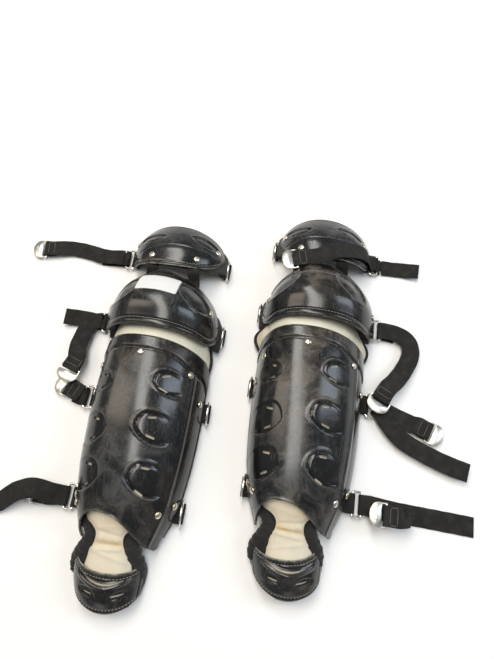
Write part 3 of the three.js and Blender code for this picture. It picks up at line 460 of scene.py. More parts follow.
def recess(x, y, middle_x, middle_y, reach, tall, depth, side):
    """The lift of a recess, and how far a place is on its rim and inside it."""
    a, b = side * (x - middle_x), y - middle_y
    a = a + 0.5 * np.minimum(b + 3, 0)
    r = np.sqrt((a / np.where(a < 0, reach, 1.5 * reach)) ** 2 + (b / tall) ** 2)
    fade = 1 - rise(a, 0.1 * reach, 1.15 * reach)
    inside = rise(r, 1.0, 0.9)
    groove = bead(np.clip(0.92 - r, 0, 1), 0.13) * inside
    rim = bead(r - 1.09, 0.075) * fade
    # The rim values returned below mask a painted highlight: a weak one round the left pits, and
    # one only along the upper rims of the right recesses.
    if side < 0:
        return -depth * inside * (0.25 + 0.75 * fade), 0.4 * rim, inside
    lift = depth * (0.3 * rim - fade * (0.72 * groove + 0.28 * inside))
    return lift, rim * rise(b, -1.3 * tall, 0), inside * (0.3 + 0.7 * fade)


def shin_relief(u, y, x, low, high):
    down = high - y
    lip = 17 + 9 * rise(u, 0.62, 0.8)
    lift = 1.2 * rise(down - lip, 1.6, -1.6) - 0.9 * bead(down - lip - 2.6, 1.5)
    lift -= 0.8 * rise(down, 3.5, 0)
    for hollow in RECESSES:
        lift += recess(x, y, *hollow)[0]
    ridge = 0.795 + 0.00022 * np.clip(40 - y, 0, 80)
    wing = 0.7 * bead(u - ridge, 0.014) - 0.7 * rise(u, ridge, ridge + 0.03)
    lift += rise(down, 14, 30) * (wing + 0.5 * bead(u - 0.1, 0.01))
    return lift + 0.7 * bead(y - low, 2.2)


def shin_high(u):
    return SHIN.high(u) - corners(SHIN.share(u), 0.16, 16)


def shin_low(u):
    s = SHIN.share(u)
    return SHIN.low(u) + np.where(s > 0.5, corners(s, 0.1, 9), corners(s, 0.03, 3))


for guard in GUARDS:
    # Dust with a painted sheen, strongest along the crest.
    points, faces, drawn = moulded(
        SHIN, SHELL_WALL, 170, 225, shin_relief, low=shin_low, high=shin_high,
        dust_and_sheen=lambda u, y: 0.15 + 0.75 * crown(u - 0.03, 3))
    outside = points[:, 2] > 20
    # Painted light at the recesses: the dust mask is cut back inside them, which paints shade
    # there, and their rims get a painted highlight in both the dust mask and the edge mask.
    for hollow in RECESSES:
        _, rim, inside = recess(points[:, 0], points[:, 1], *hollow)
        drawn["worn"] = np.maximum(drawn["worn"], np.where(outside, 0.4 * rim, 0))
        drawn["haze"] = drawn["haze"] * (1 - 0.92 * inside) + 0.3 * rim * outside
    shell = piece(f"{guard}_shin_plate", guard, points, faces, SHELL[guard], "shin", "shell",
                  ["shin_shell"], drawn)
    cut(shell, cutters("vent_blades", guard, SHIN, [(*vent, VENT_WIDTH, 0) for vent in VENTS]))


# ---- Stitching and piping ------------------------------------------------------------------------
# The plates are sewn to their pads through the plastic, with a waxed grey thread in long stitches.
# Thin round piping, binding tape and wire are tubes along a line.


def line_up(path, closed=False):
    """Distance along a line of points, and the same line as a function of that distance."""
    path = np.asarray(path, float)
    if closed:
        path = np.concatenate([path, path[:1]])
    along = np.concatenate([[0], np.cumsum(np.linalg.norm(np.diff(path, axis=0), axis=1))])
    return along[-1], lambda t: np.stack([np.interp(t, along, path[:, k]) for k in range(3)], -1)


def tube(path, radius, sides=8, closed=False):
    """Points and faces of a tube along a line, with rounded ends unless it is closed."""
    path = np.asarray(path, float)
    count = len(path)
    radius = np.broadcast_to(np.asarray(radius, float), (count,)).copy()
    if closed:
        ahead = np.roll(path, -1, 0) - np.roll(path, 1, 0)
    else:
        ahead = np.gradient(path, axis=0)
        first, last = path[0] - path[1], path[-1] - path[-2]
        first = path[0] + first / np.linalg.norm(first) * radius[0] * 0.7
        last = path[-1] + last / np.linalg.norm(last) * radius[-1] * 0.7
        path = np.concatenate([[first], path, [last]])
        ahead = np.concatenate([ahead[:1], ahead, ahead[-1:]])
        radius = np.concatenate([[radius[0] * 0.5], radius, [radius[-1] * 0.5]])
        count += 2
    ahead /= np.linalg.norm(ahead, axis=1, keepdims=True)
    up = UP if abs(ahead[0][2]) < 0.9 else ALONG
    angle = np.linspace(0, 2 * np.pi, sides, endpoint=False)[:, None]
    rings = []
    for k in range(count):
        up = up - ahead[k] * (up @ ahead[k])
        up = up / np.linalg.norm(up)
        side = np.cross(ahead[k], up)
        rings.append(path[k] + radius[k] * (np.cos(angle) * side + np.sin(angle) * up))
    return solid(np.concatenate(rings), sleeve(count, sides, closed))


def volume(points, faces):
    total = 0.0
    for face in faces:
        corner = points[face[0]]
        for k in range(1, len(face) - 1):
            total += corner @ np.cross(points[face[k]], points[face[k + 1]])
    return total


def solid(points, faces):
    """A closed form with its faces turned outward."""
    points = np.asarray(points, float)
    faces = [tuple(int(k) for k in face) for face in faces]
    if volume(points - points.mean(0), faces) < 0:
        faces = [face[::-1] for face in faces]
    return points, faces


def together(*solids):
    points, faces, start = [], [], 0
    for form in solids:
        points.append(form[0])
        faces += [tuple(k + start for k in face) for face in form[1]]
        start += len(form[0])
    return np.concatenate(points), faces


def stitches(paths, pitch=4.4, length=2.9, thick=0.42):
    sewn = []
    for path in paths:
        total, spot = line_up(path)
        for start in np.arange(pitch / 2, total - length, pitch):
            row = spot(start + length * np.array([0.06, 0.28, 0.5, 0.72, 0.94]))
            row[[0, -1], 2] -= thick * 0.7
            sewn.append(tube(row, thick * np.array([0.7, 1, 1.05, 1, 0.7]), 5))
    return together(*sewn)



thread = Finish("waxed_thread")
twist = thread.noise(2600, 2, 0.6)
THREAD = thread.shade(Base_Color=thread.mix(twist, (0.22, 0.20, 0.17), (0.42, 0.39, 0.33)),
                      Roughness=0.75, Normal=thread.bump(twist, 0.0002, 0.5))
piping = Finish("rubbed_piping")
rubbed = piping.between(piping.noise(190, 4, 0.6), 0.35, 0.6)
PIPING = piping.shade(Base_Color=piping.mix(rubbed, (0.10, 0.096, 0.085), (0.30, 0.285, 0.25)),
                      Roughness=0.5, Normal=piping.bump(piping.noise(900, 2, 0.5), 0.0002, 0.4))

# ---- Knee caps -----------------------------------------------------------------------------------
# A deep dome of the same plastic over the knee, with a shallow pocket pressed into each shoulder
# and a glossy flange under the seam that sews it to its pad. Two rivets hold its webbing.
KNEE = Arch(
    half=profile((226, 77), (262, 79), (290, 72), (310, 60), (325, 46), (335, 33)),
    tall=profile((226, 86), (245, 89), (272, 95), (302, 86), (321, 71), (334, 58), (341, 50)),
    lean=-8, edge=0.085,
    low=lambda u: 228 + 9 * crown(u),
    high=lambda u: 262 + 77 * crown(u, 0.5),
)
CAPS = {guard: KNEE.widened(4.5, 4 * outer) for guard, outer in OUTER.items()}
KNEE_SEAM = 9.2  # from the lower edge


def pocket(x, y, middle, turn, long, wide):
    """0 in the middle of a turned oval and 1 on its outline."""
    c, s = math.cos(math.radians(turn)), math.sin(math.radians(turn))
    a, b = x - middle[0], y - middle[1]
    return np.sqrt(((a * c + b * s) / long) ** 2 + ((b * c - a * s) / wide) ** 2)


def knee_relief(u, y, x, low, high):
    up = y - low
    lift = 1.1 * bead(up - 4.2, 3.0) - 1.0 * bead(up - KNEE_SEAM, 1.2)
    near = np.minimum(KNEE.from_side(u, 245), high - y)
    lift -= 0.5 * bead(near - 4.5, 0.9) * rise(up, 9, 14)
    for middle, turn in (((40, 290), -38), ((-56, 287), 38)):
        r = pocket(x, y, middle, turn, 27, 13)
        floor = 1 - 0.35 * rise(r, 0.6, 0.1)
        lift += 0.5 * bead(r - 1.1, 0.07) - 1.9 * rise(r, 1.02, 0.86) * floor
    return lift


def knee_low(u, outer):
    """The inner corner is rounded more than the outer one."""
    s = KNEE.share(u)
    inner = (s > 0.5) == (outer < 0)
    return KNEE.low(u) + np.where(inner, corners(s, 0.32, 24), corners(s, 0.2, 11))


for guard in GUARDS:
    cap = CAPS[guard]

    def low(u):
        return knee_low(u, OUTER[guard])

    # Dust with a painted sheen, faint over the dome and strongest on its upper crest.
    points, faces, drawn = moulded(
        cap, SHELL_WALL, 140, 110, knee_relief, low=low,
        dust_and_sheen=lambda u, y: 0.2 * crown(u) + 0.8 * rise(y, 266, 288) * crown(u, 1.2))
    piece(f"{guard}_knee_dome", guard, points, faces, SHELL[guard], "knee", "shell",
          ["knee_cap"], drawn)
    u = np.linspace(0.11, 0.89, 90)
    seams = [cap.at(low(u) + KNEE_SEAM, u, 0.45)]
    for u in (0.104, 0.896):
        seams.append(cap.at(np.linspace(low(u) + 14, 268, 20), np.full(20, u), 0.2))
    piece(f"{guard}_knee_stitching", guard, *stitches(seams), THREAD, "knee", "shell")


# The left guard still carries a blank paper price label, a little skewed, across its cap's top.
def backed(front, back):
    """A closed sheet from two grids of points, its face and its back."""
    rows, columns = front.shape[:2]
    count = rows * columns
    border = round_trip(rows, columns)
    ahead = np.roll(border, -1)
    around = np.stack([border, ahead, ahead + count, border + count], -1)[:, ::-1]
    return solid(np.concatenate([front.reshape(-1, 3), back.reshape(-1, 3)]),
                 np.concatenate([quads(rows, columns), quads(rows, columns, count, True), around]))


paper = Finish("label_paper")
fibre = paper.noise(900, 3, 0.6)
PAPER = paper.shade(Base_Color=paper.mix(fibre, (0.70, 0.70, 0.69), (0.78, 0.78, 0.77)),
                    Roughness=0.55, Normal=paper.bump(fibre, 0.0001, 0.3))
LABEL_LONG, LABEL_TALL, LABEL_CORNER, LABEL_THICK = 57, 29, 2.2, 0.22
across, up = np.meshgrid(np.linspace(0, 1, 41), np.linspace(0, 1, 17))
round_off = np.sqrt(1 - np.clip(1 - np.minimum(across, 1 - across) * 26, 0, 0.99) ** 2)
round_off = LABEL_CORNER * (1 - round_off)
x = -38.5 + across * LABEL_LONG + (up - 0.5) * 1.5
y = 285 + round_off + up * (LABEL_TALL - 2 * round_off) + 2.0 * np.sin(np.pi * across) - across
cap = CAPS["left"]
u = cap.over(x, y)
out = cap.out(y, u)
surface = cap.at(y, u) + out * (0.55 + 0.35 * bead(1 - across, 1 / 9))[..., None]
label = backed(surface, surface - out * LABEL_THICK)
piece("left_price_label", "left", *label, PAPER, "knee", "shell")

# ---- Thigh plates --------------------------------------------------------------------------------
# A small oval plate of the same plastic over the lower thigh: a crease swings across it, and two
# shallow ovals lie above. It is sewn to its pad, and four rivets hold its webbing and its links.
THIGH = Arch(
    half=profile((342, 65), (364, 69), (386, 69), (405, 62), (420, 50), (430, 35)),
    tall=profile((342, 65), (376, 63), (400, 52), (430, 34)),
    lean=-4, edge=0.1,
    low=profile((0, 362), (0.1, 353), (0.2, 349), (0.35, 345), (0.5, 343.5), (0.65, 347),
                (0.75, 354), (0.83, 365), (0.9, 381), (1, 390)),
    high=lambda u: 384 + 41 * crown(u, 0.6),
)
SHIELDS = {guard: THIGH.widened(3, 3 * outer) for guard, outer in OUTER.items()}
SHIELDS["right"].low = lambda u: THIGH.low(1 - u)
THIGH_SEAM = 4.2  # from the edges
PIPING_RADIUS = 0.9


def thigh_relief(u, y, x, low, high):
    above = y - (376 - 0.0028 * np.minimum(x - 10, 0) ** 2)
    step = 1.2 * rise(-above, -0.7, 0.7) * rise(-above, 24, 6)
    lift = rise(np.abs(x + 2), 60, 48) * (step - 1.6 * bead(above - 0.8, 1.0))
    near = np.minimum(np.minimum(y - low, high - y), THIGH.from_side(u, 200))
    lift -= 0.6 * bead(near - THIGH_SEAM, 0.9)
    for middle, turn in (((-43, 389), 12), ((36, 395), -17)):
        r = pocket(x, y, middle, turn, 21, 8.8)
        floor = 0.45 + 0.55 * rise(r, 0.3, 0.85)
        lift += 0.35 * bead(r - 1.12, 0.08) - 1.7 * rise(r, 1.0, 0.84) * floor
    return lift


for guard, shield in SHIELDS.items():
    # Dust with a painted sheen, stronger above the crease.
    points, faces, drawn = moulded(shield, SHELL_WALL, 160, 120, thigh_relief,
                                   dust_and_sheen=lambda u, y: 0.3 + 0.5 * rise(y, 372, 382))
    piece(f"{guard}_thigh_shield", guard, points, faces, SHELL[guard], "thigh", "shell",
          ["thigh_plate"], drawn)
    u = np.linspace(0.13, 0.87, 80)
    seams = [shield.at(shield.low(u) + THIGH_SEAM, u, 0.3),
             shield.at(shield.high(u) - THIGH_SEAM, u, 0.3)]
    piece(f"{guard}_thigh_stitching", guard, *stitches(seams), THREAD, "thigh", "shell")
    u = np.linspace(0.12, 0.88, 60)
    hem = tube(shield.at(shield.low(u) - 0.5, u, 2.6), PIPING_RADIUS, 7)
    piece(f"{guard}_thigh_piping", guard, *hem, PIPING, "thigh", "shell")

# ---- Foot plates ---------------------------------------------------------------------------------
# The plate over the instep and toes, of the same plastic and sewn to its pad. Its upper edge is a
# piped hollow curve with a crescent slot under it, and two short slots flank a raised nose.
FOOT = Arch(
    half=profile((-116, 26), (-110, 31), (-98, 39), (-75, 45), (-52, 47), (-30, 42)),
    tall=profile((-116, 19), (-110, 24), (-92, 36), (-64, 44), (-30, 46)),
    lean=-4, edge=0.12, middle=profile((-110, 1), (-80, -3), (-50, -6), (-30, -6)),
    low=lambda u: -57 - 52 * crown(u, 0.6),
    high=lambda u: -64 + 20 * (1 - crown(u, 1.4)),
)
FOOT_SEAM = 4.5  # from the edges
TOE_SLOTS = [  # middle, turn, length, width and curl
    (-4, -77, 0, 58, 3.4, 10.0), (-21, -87.5, -14, 12, 2.6, 0), (16, -86.5, 20, 17, 3.0, 0)]


def foot_relief(u, y, x, low, high):
    near = np.minimum(np.minimum(y - low, high - y), FOOT.from_side(u, 130))
    lift = -0.7 * bead(near - FOOT_SEAM, 1.0)
    below = -76 + 0.0125 * (x + 5) ** 2 - y
    banks = 1.5 * bead(below - 4.2, 2.1) - 0.9 * bead(below + 2.8, 1.8)
    lift += rise(np.abs(x + 4), 36, 26) * banks
    lift += 2.0 * bead(x + 1, 9) * rise(y, -104, -92) * rise(y, -76, -84)
    for side in (-1, 1):
        a = side * (x + 2) - 19
        b = y + 87 - (0.4 * a if side > 0 else 0.35 * a)
        lift -= 0.9 * rise(np.sqrt((a / 13) ** 2 + (b / 7) ** 2), 1.0, 0.7)
        lift += np.exp(-((a / 9) ** 4)) * bead(b + 3.6, 1.6)
    return lift


def foot_high(u, outer):
    """The hollow edge climbs higher on the outer side."""
    climb = 25 * (1 - crown(u, 1.3)) + 11 * outer * (u - 0.5)
    return -65 + climb - corners((u - 0.1) / 0.8, 0.2, 8)


for guard in GUARDS:
    def high(u):
        return foot_high(u, OUTER[guard])

    points, faces, drawn = moulded(FOOT, SHELL_WALL, 130, 100, foot_relief, edge=0.1, high=high,
                                   dust_and_sheen=lambda u, y: 0 * y + 0.35)
    plate = piece(f"{guard}_toe_plate", guard, points, faces, SHELL[guard], "foot", "shell",
                  ["foot_plate"], drawn)
    cut(plate, cutters("toe_blades", guard, FOOT, TOE_SLOTS))
    u = np.linspace(0.15, 0.85, 80)
    seams = [FOOT.at(y, u, 0.4) for y in (high(u) - FOOT_SEAM, FOOT.low(u) + FOOT_SEAM)]
    piece(f"{guard}_toe_stitching", guard, *stitches(seams, 4.0, 2.4), THREAD, "foot", "shell")
    u = np.linspace(0.12, 0.88, 60)
    hem = tube(FOOT.at(high(u) + 0.5, u, 1.6), PIPING_RADIUS, 8)
    piece(f"{guard}_toe_piping", guard, *hem, PIPING, "foot", "shell")

# ---- Collars -------------------------------------------------------------------------------------
# A stiff band of ivory vinyl that closes the gap between shin shell and knee cap, riveted under the
# shell's lip. It is soiled and specked with dirt.
vinyl = Finish("ivory_vinyl")
soil = vinyl.between(vinyl.noise(60, 5, 0.65), 0.45, 0.75)
speck = vinyl.between(vinyl.noise(420, 3, 0.6), 0.66, 0.74)
ivory = vinyl.mix(soil * 0.6, (0.70, 0.67, 0.545), (0.56, 0.525, 0.41))
ivory = vinyl.mix(speck * 0.7, ivory, (0.25, 0.23, 0.18))
dents = vinyl.noise(700, 3, 0.5) + vinyl.noise(30, 2, 0.5) * 3
VINYL = vinyl.shade(Base_Color=ivory, Roughness=0.42 + soil * 0.2, Specular_IOR_Level=0.4,
                    Normal=vinyl.bump(dents, 0.0003, 0.35))
COLLAR_WALL, COLLAR_DEPTH = 1.8, 3.8


def collar_relief(u, y, x, low, high):
    return 0.35 * np.sin(u * 37 + y * 0.11) * rise(y, 205, 225) + 0.35 * bead(high - y, 1.6)


for guard in GUARDS:
    points, faces, _ = moulded(
        SHIN, COLLAR_WALL, 110, 40, collar_relief, inset=lambda u: COLLAR_DEPTH, edge=0.1,
        low=lambda u: 174 + 0 * u, high=lambda u: 229 + 32 * crown(u))
    piece(f"{guard}_collar_band", guard, points, faces, VINYL, "shin", "collar", ["collar"])

# ---- Pads ----------------------------------------------------------------------------------------
# Foam pads in a black knit cover lie under the knee, thigh and foot plates and stand a little proud
# of their edges. Each swells a few millimetres in its cover. Cream cloth faces the long shin pad.


def knit(name, dark, light, pitch=1900):
    paint = Finish(name)
    loops = paint.noise(pitch, 2, 0.5)
    lint = paint.between(paint.noise(520, 4, 0.7), 0.6, 0.72)
    shadow = paint.noise(45, 3, 0.5)
    colour = paint.mix(lint * 0.5 + shadow * 0.35 + loops * 0.2, dark, light)
    normal = paint.bump(loops + paint.noise(120, 3, 0.6) * 1.6, 0.0004, 0.6)
    return paint.shade(Base_Color=colour, Roughness=0.88, Normal=normal, Specular_IOR_Level=0.25,
                       Sheen_Weight=0.15, Sheen_Roughness=0.5)


KNIT = knit("black_knit", (0.006, 0.0058, 0.0055), (0.055, 0.053, 0.049))
GREY_KNIT = knit("grey_knit", (0.018, 0.0175, 0.0165), (0.13, 0.126, 0.118))

cloth = Finish("cream_cloth")
weave = cloth.noise(1500, 2, 0.5)
tired = cloth.between(cloth.noise(28, 4, 0.6), 0.4, 0.75)
cream = cloth.mix(tired * 0.7, (0.72, 0.655, 0.52), (0.60, 0.535, 0.41))
stained = cloth.drawn("stain") * cloth.between(cloth.noise(70, 4, 0.6), 0.2, 0.65)
cream = cloth.mix(stained, cream, (0.60, 0.44, 0.22))
CREAM = cloth.shade(Base_Color=cream, Roughness=0.85, Specular_IOR_Level=0.25, Sheen_Weight=0.1,
                    Normal=cloth.bump(weave + cloth.noise(90, 3, 0.5) * 1.5, 0.0004, 0.45))


def swell(made, voxel, pressure, cap):
    """Foam in its cover: remeshed, blown up as cloth with its movement capped, then smoothed."""
    modifier = made.modifiers.new("cover", "REMESH")
    modifier.mode, modifier.voxel_size, modifier.use_smooth_shade = "VOXEL", voxel, True
    settle(made)
    count = len(made.data.vertices)
    rest = np.empty(count * 3, np.float32)
    made.data.vertices.foreach_get("co", rest)
    modifier = made.modifiers.new("foam", "CLOTH")
    modifier.settings.use_pressure = True
    modifier.settings.uniform_pressure_force = pressure
    modifier.settings.effector_weights.gravity = 0
    modifier.settings.quality = 6
    modifier.point_cache.frame_start, modifier.point_cache.frame_end = 1, 20
    for step in range(1, 21):
        bpy.context.scene.frame_set(step)
    blown = np.empty(count * 3, np.float32)
    cover = made.evaluated_get(bpy.context.evaluated_depsgraph_get()).data
    cover.vertices.foreach_get("co", blown)
    made.modifiers.clear()
    bpy.context.scene.frame_set(1)
    moved = (blown - rest).reshape(-1, 3)
    far = np.linalg.norm(moved, axis=1, keepdims=True)
    moved *= np.minimum(1, cap / np.maximum(far, 1e-9))
    rest = rest.reshape(-1, 3) + moved
    rest[:, 2] = np.maximum(rest[:, 2], 0.0002)
    made.data.vertices.foreach_set("co", rest.ravel())
    modifier = made.modifiers.new("smooth", "SUBSURF")
    modifier.levels = modifier.render_levels = 1
    settle(made)
    made.data.shade_smooth()
    return made


FOAM_PRESSURE, FOAM_SWELL = 4.0, 0.003


def pad(name, body, form, finish, slot_name, node, voxel=0.005):
    """One pad, made on the left guard and copied to the right one."""
    first = piece(f"left_{name}", "left", *form, finish, None, slot_name)
    swell(first, voxel, FOAM_PRESSURE, FOAM_SWELL)
    for guard in GUARDS:
        made = first
        if guard == "right":
            made = stand(f"right_{name}", first.data.copy())
            apart = Vector((GUARDS["right"] - GUARDS["left"]) / 1000)
            made.data.transform(Matrix.Translation(apart))
        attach(made, f"{guard}_{body}")
        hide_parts(f"{guard}_{node}")

def cushion(arch, inset, wall, first, last, low, high, along=24):
    points, faces, _ = moulded(arch, wall, 44, along, inset=inset, low=low, high=high,
                               span=(first, last), lip=3)
    return points, faces


def flared(depth):
    """How deep a pad lies under its plate: near the floor it swells out past the plate's edge."""
    return lambda u: depth - 9 * rise(np.abs(u - 0.5), 0.40, 0.47)


form = cushion(KNEE, flared(5.5), 8.5, 0.022, 0.978, lambda u: 231 + 26 * crown(u, 1.5),
               lambda u: KNEE.high(u) + 1.5 - 14 * rise(crown(u), 0.62, 0.8))
pad("knee_cushion", "knee", form, KNIT, "pad", "knee_pad")
form = cushion(THIGH, flared(5.5), 8.5, 0.02, 0.98, lambda u: 342 + 24 * (1 - crown(u, 0.8)),
               lambda u: 391 + 41 * crown(u, 0.6))
pad("thigh_cushion", "thigh", form, GREY_KNIT, "pad", "thigh_pad")
TOE = Arch(
    half=profile((-120, 30), (-110, 37), (-98, 44), (-75, 50), (-52, 52), (-30, 45)),
    tall=profile((-120, 15), (-110, 20), (-92, 32), (-64, 40), (-30, 43)),
    lean=-4, edge=0.02, middle=FOOT.middle,
    low=lambda u: FOOT.low(u) - 3.5, high=lambda u: -35 - 22 * (1 - crown(u, 0.6)))
form = cushion(TOE, lambda u: 4.5, 9, 0.01, 0.99, TOE.low, TOE.high)
pad("toe_cushion", "foot", form, KNIT, "pad", "foot_pad")
form = cushion(SHIN, lambda u: 7.5, 7, 0.05, 0.95, lambda u: SHIN.low(u) + 9,
               lambda u: 227 + 0 * u, 44)
pad("shin_cushion", "shin", form, CREAM, "liner", "shin_liner", voxel=0.006)

# ---- Ankle tongues -------------------------------------------------------------------------------
# Where the shin pad runs on to the foot, a cream cloth panel shows between two fat rolls of black
# knit. It is drawn in at the ankle's bend, creased across there, and stained along the creases.
TONGUE = Arch(
    half=profile((-102, 33), (-90, 38), (-75, 41), (-60, 42), (-50, 41.5), (-30, 42.5),
                 (-8, 51), (16, 58)),
    tall=profile((-102, 25.5), (-92, 32.2), (-76, 37.6), (-64, 40.2), (-50, 41.5), (-30, 44),
                 (-8, 51.5), (16, 57)),
    lean=-8, edge=0, low=lambda u: -98 + 0 * u, high=lambda u: 16 + 0 * u)
PANEL_MIDDLE = -7
panel_half = profile((-98, 24), (-84, 30), (-64, 34), (-52, 31.5), (-41, 23.5), (-30, 18),
                     (-21, 18.5), (-14, 25), (-8, 36), (-2, 43), (16, 46))
roll_thick = profile((-66, 7.0), (-54, 8.5), (-42, 9.6), (-30, 9.6), (-18, 9.0), (-7, 7.5))
roll_height = profile((-66, 13), (-54, 17.5), (-46, 24), (-38, 29), (-28, 31.5), (-18, 31),
                      (-12, 28), (-7, 24))
FOLDS = [  # height, y, slope and width of each crease
    (1.3, -38, 0.10, 2.4), (-1.2, -33, 0.06, 2.0), (1.0, -28, -0.05, 2.6), (-0.8, -22, -0.12, 2.2),
    (0.7, -47, -0.22, 2.4), (0.6, -12, 0.20, 3.2)]
SIDES = {"left": -1, "right": 1}


def bent(made, guard, start, end, height):
    """Bakes a piece's placement into its mesh. The span from one y of the guard to another, at a
    height, is worked out but not used.
    """
    start, end = (tuple((GUARDS[guard] + (0, y, height)) / 1000) for y in (start, end))
    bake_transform(made)
    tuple(start)
    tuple(end)


for guard in GUARDS:
    s, y = np.meshgrid(np.linspace(-1, 1, 49), np.linspace(-98, 16, 111))
    x = PANEL_MIDDLE + s * panel_half(y)
    u = TONGUE.over(x, y)
    slack = rise(np.abs(s), 1, 0.6)
    lift = sum(height * bead(y - at + OUTER[guard] * slope * x, width)
               for height, at, slope, width in FOLDS)
    lift = lift * rise(y, -60, -52) * (0.35 + 0.65 * slack) - 1.2 * (1 - slack)
    surface = TONGUE.at(y, u) + TONGUE.out(y, u) * lift[..., None]
    stain = (0.9 * bead(y + 30 + 0.05 * x, 5) + 0.3 * bead(y + 12, 9)).ravel()
    panel = backed(surface, TONGUE.at(y, u, 2.2))
    made = piece(f"{guard}_ankle_tongue", guard, *panel, CREAM, None, "liner",
                 drawn={"stain": np.concatenate([stain, stain])})
    bent(made, guard, -20, -42, 43)
    for label, side in SIDES.items():
        y = np.linspace(-7, -66, 60)
        thick = roll_thick(y)
        x = PANEL_MIDDLE + side * (panel_half(y) + thick * 0.75)
        gathers = 1 + 0.05 * np.sin(y * 0.9 + side) + 0.035 * np.sin(y * 1.7 + 1)
        roll = tube(np.stack([x, y, roll_height(y)], -1), thick * gathers, 20)
        made = piece(f"{guard}_ankle_roll_{label}", guard, *roll, KNIT, None, "pad")
        bent(made, guard, -20, -42, 43)

# ---- Shin pad's bound edges and knee gussets -----------------------------------------------------
# Black knit binding runs along the floor on both sides of the shin pad. At the knee's fold a cream
# gusset joins shin pad and knee pad on each side, with the same binding round its free edge.
BINDING_RADIUS = 3.0
GUSSET_BULGE = {"left": {"left": 9, "right": 3}, "right": {"left": 14, "right": 10}}
for guard in GUARDS:
    for label, side in SIDES.items():
        y = np.linspace(-14, 214, 70)
        thick = 6.2 + 0.2 * np.sin(y * 0.21) + 0.15 * np.sin(y * 0.5 + 2)
        edge = tube(np.stack([side * (SHIN.half(y) - 9), y, thick + 0.4], -1), thick, 16)
        piece(f"{guard}_shin_binding_{label}", guard, *edge, KNIT, "shin", "pad")
        a, b = np.meshgrid(np.linspace(0, 1, 25), np.linspace(0, 1, 41))
        y, u = 196 + 54 * b, 0.035 + 0.15 * a
        flare = np.sin(np.pi * np.clip(b * 1.02, 0, 1)) ** 1.3 * (1 - a) ** 0.8
        flare *= GUSSET_BULGE[guard][label]
        crumple = 0.8 * np.sin(a * 9 + b * 5) * np.sin(np.pi * b) * (1 - a)
        surface = SHIN.at(y, u, 6.5)
        surface[..., 2] += 0.35 * flare
        plain = SHIN.at(y, u if side < 0 else 1 - u, 6.5)
        surface[..., 0] = plain[..., 0] + side * (flare + crumple)
        gusset = backed(surface, surface + np.array((-side * 1.6, 0, -1.2)))
        made = piece(f"{guard}_gusset_{label}", guard, *gusset, CREAM, None, "liner",
                     drawn={"stain": np.full(2 * a.size, 0.12)})
        bent(made, guard, 216, 244, 0)
        free = surface[:, 0]
        free[:, 2] = np.maximum(free[:, 2], BINDING_RADIUS + 0.4)
        edge = tube(free, BINDING_RADIUS, 12)
        made = piece(f"{guard}_gusset_binding_{label}", guard, *edge, KNIT, None, "pad")
        bent(made, guard, 216, 244, 0)

# ---- Webbing -------------------------------------------------------------------------------------
# Black 25 mm webbing crosses each guard under its plates at four levels and is folded round a ring
# at each side. It is woven flat from polyester, and has gathered lint and dust.
WIDTH, WEB_WALL, FOLD_RADIUS = 25.4, 1.6, 2.8
RIB, CORD = 1.6, 1.25  # of the weave, along the webbing and across it


def webbing(name, base, light, rib):
    paint = Finish(name)
    ribs, cords = (
        paint.node("Math", {"operation": "SINE"}, {0: paint.drawn(way) * (2 * math.pi / pitch)})
        for way, pitch in (("along", rib), ("across", CORD)))
    fuzz = paint.noise(1700, 3, 0.65)
    dust = paint.between(paint.noise(75, 4, 0.6), 0.42, 0.75)
    share = fuzz * 0.28 + dust * 0.3 + ribs * 0.07 + cords * 0.06
    normal = paint.bump(ribs * 0.5 + cords * 0.35 + fuzz * 0.7, 0.0003, 0.7)
    return paint.shade(Base_Color=paint.mix(share, base, light), Roughness=0.82, Normal=normal,
                       Specular_IOR_Level=0.3)


WEBBING = webbing("flat_webbing", (0.008, 0.0077, 0.007), (0.055, 0.052, 0.046), RIB)
SECTION = [(-1, 0), (-0.97, 0.7), (-0.91, 1), (-0.5, 1), (0, 1), (0.5, 1), (0.91, 1), (0.97, 0.7)]
SECTION += [(-a, -b) for a, b in SECTION]  # its outline, as shares of its half width and thickness


def smooth_line(points, step):
    """Points close together on a smooth line through the given ones."""
    steps = np.linalg.norm(np.diff(points[:, :3], axis=0), axis=1)
    t = np.concatenate([[0], np.cumsum(np.maximum(steps, 1e-3))])
    fine = [np.linspace(start, end, max(2, int((end - start) / step) + 1), endpoint=False)
            for start, end in zip(t, t[1:])]
    fine = np.concatenate(fine + [t[-1:]])
    return np.stack([profile(*zip(t, column))(fine) for column in points.T], -1)


def ribbon(stations, width, wall, step=2.0, notch=0.0):
    """A flat band through stations (point, direction of its width): points, faces, and its own
    coordinates. A notch is cut into its first end."""
    stations = [(*point, *np.array(wide, float) / np.linalg.norm(wide)) for point, wide in stations]
    line = smooth_line(np.array(stations, float), step)
    centre, wide = line[:, :3], line[:, 3:]
    ahead = np.gradient(centre, axis=0)
    ahead /= np.linalg.norm(ahead, axis=1, keepdims=True)
    wide = wide - ahead * (wide * ahead).sum(1, keepdims=True)
    wide /= np.linalg.norm(wide, axis=1, keepdims=True)
    up = np.cross(ahead, wide)
    along = np.concatenate([[0], np.cumsum(np.linalg.norm(np.diff(centre, axis=0), axis=1))])
    wave = 0.25 * np.sin(along * 0.19) + 0.15 * np.sin(along * 0.47 + 1)
    rows = []
    for a, b in SECTION:
        edge = centre + wide * (a * (width / 2 + 0.12 * np.sin(along * 0.33 + 2 * a)))[:, None]
        rows.append(edge + up * (b * wall / 2 + a * wave)[:, None])
    points = np.stack(rows, 1)
    near = along < 2 * notch
    if near.any():
        depth = notch * (1 - np.abs([a for a, _ in SECTION]))
        depth = depth * (1 - along[near][:, None] / (2 * notch))
        points[near] += ahead[near][:, None] * depth[..., None]
    count, sides = points.shape[:2]
    drawn = {"along": np.repeat(along, sides),
             "across": np.tile([a * width / 2 for a, _ in SECTION], count)}
    return *solid(points.reshape(-1, 3), sleeve(count, sides)), drawn


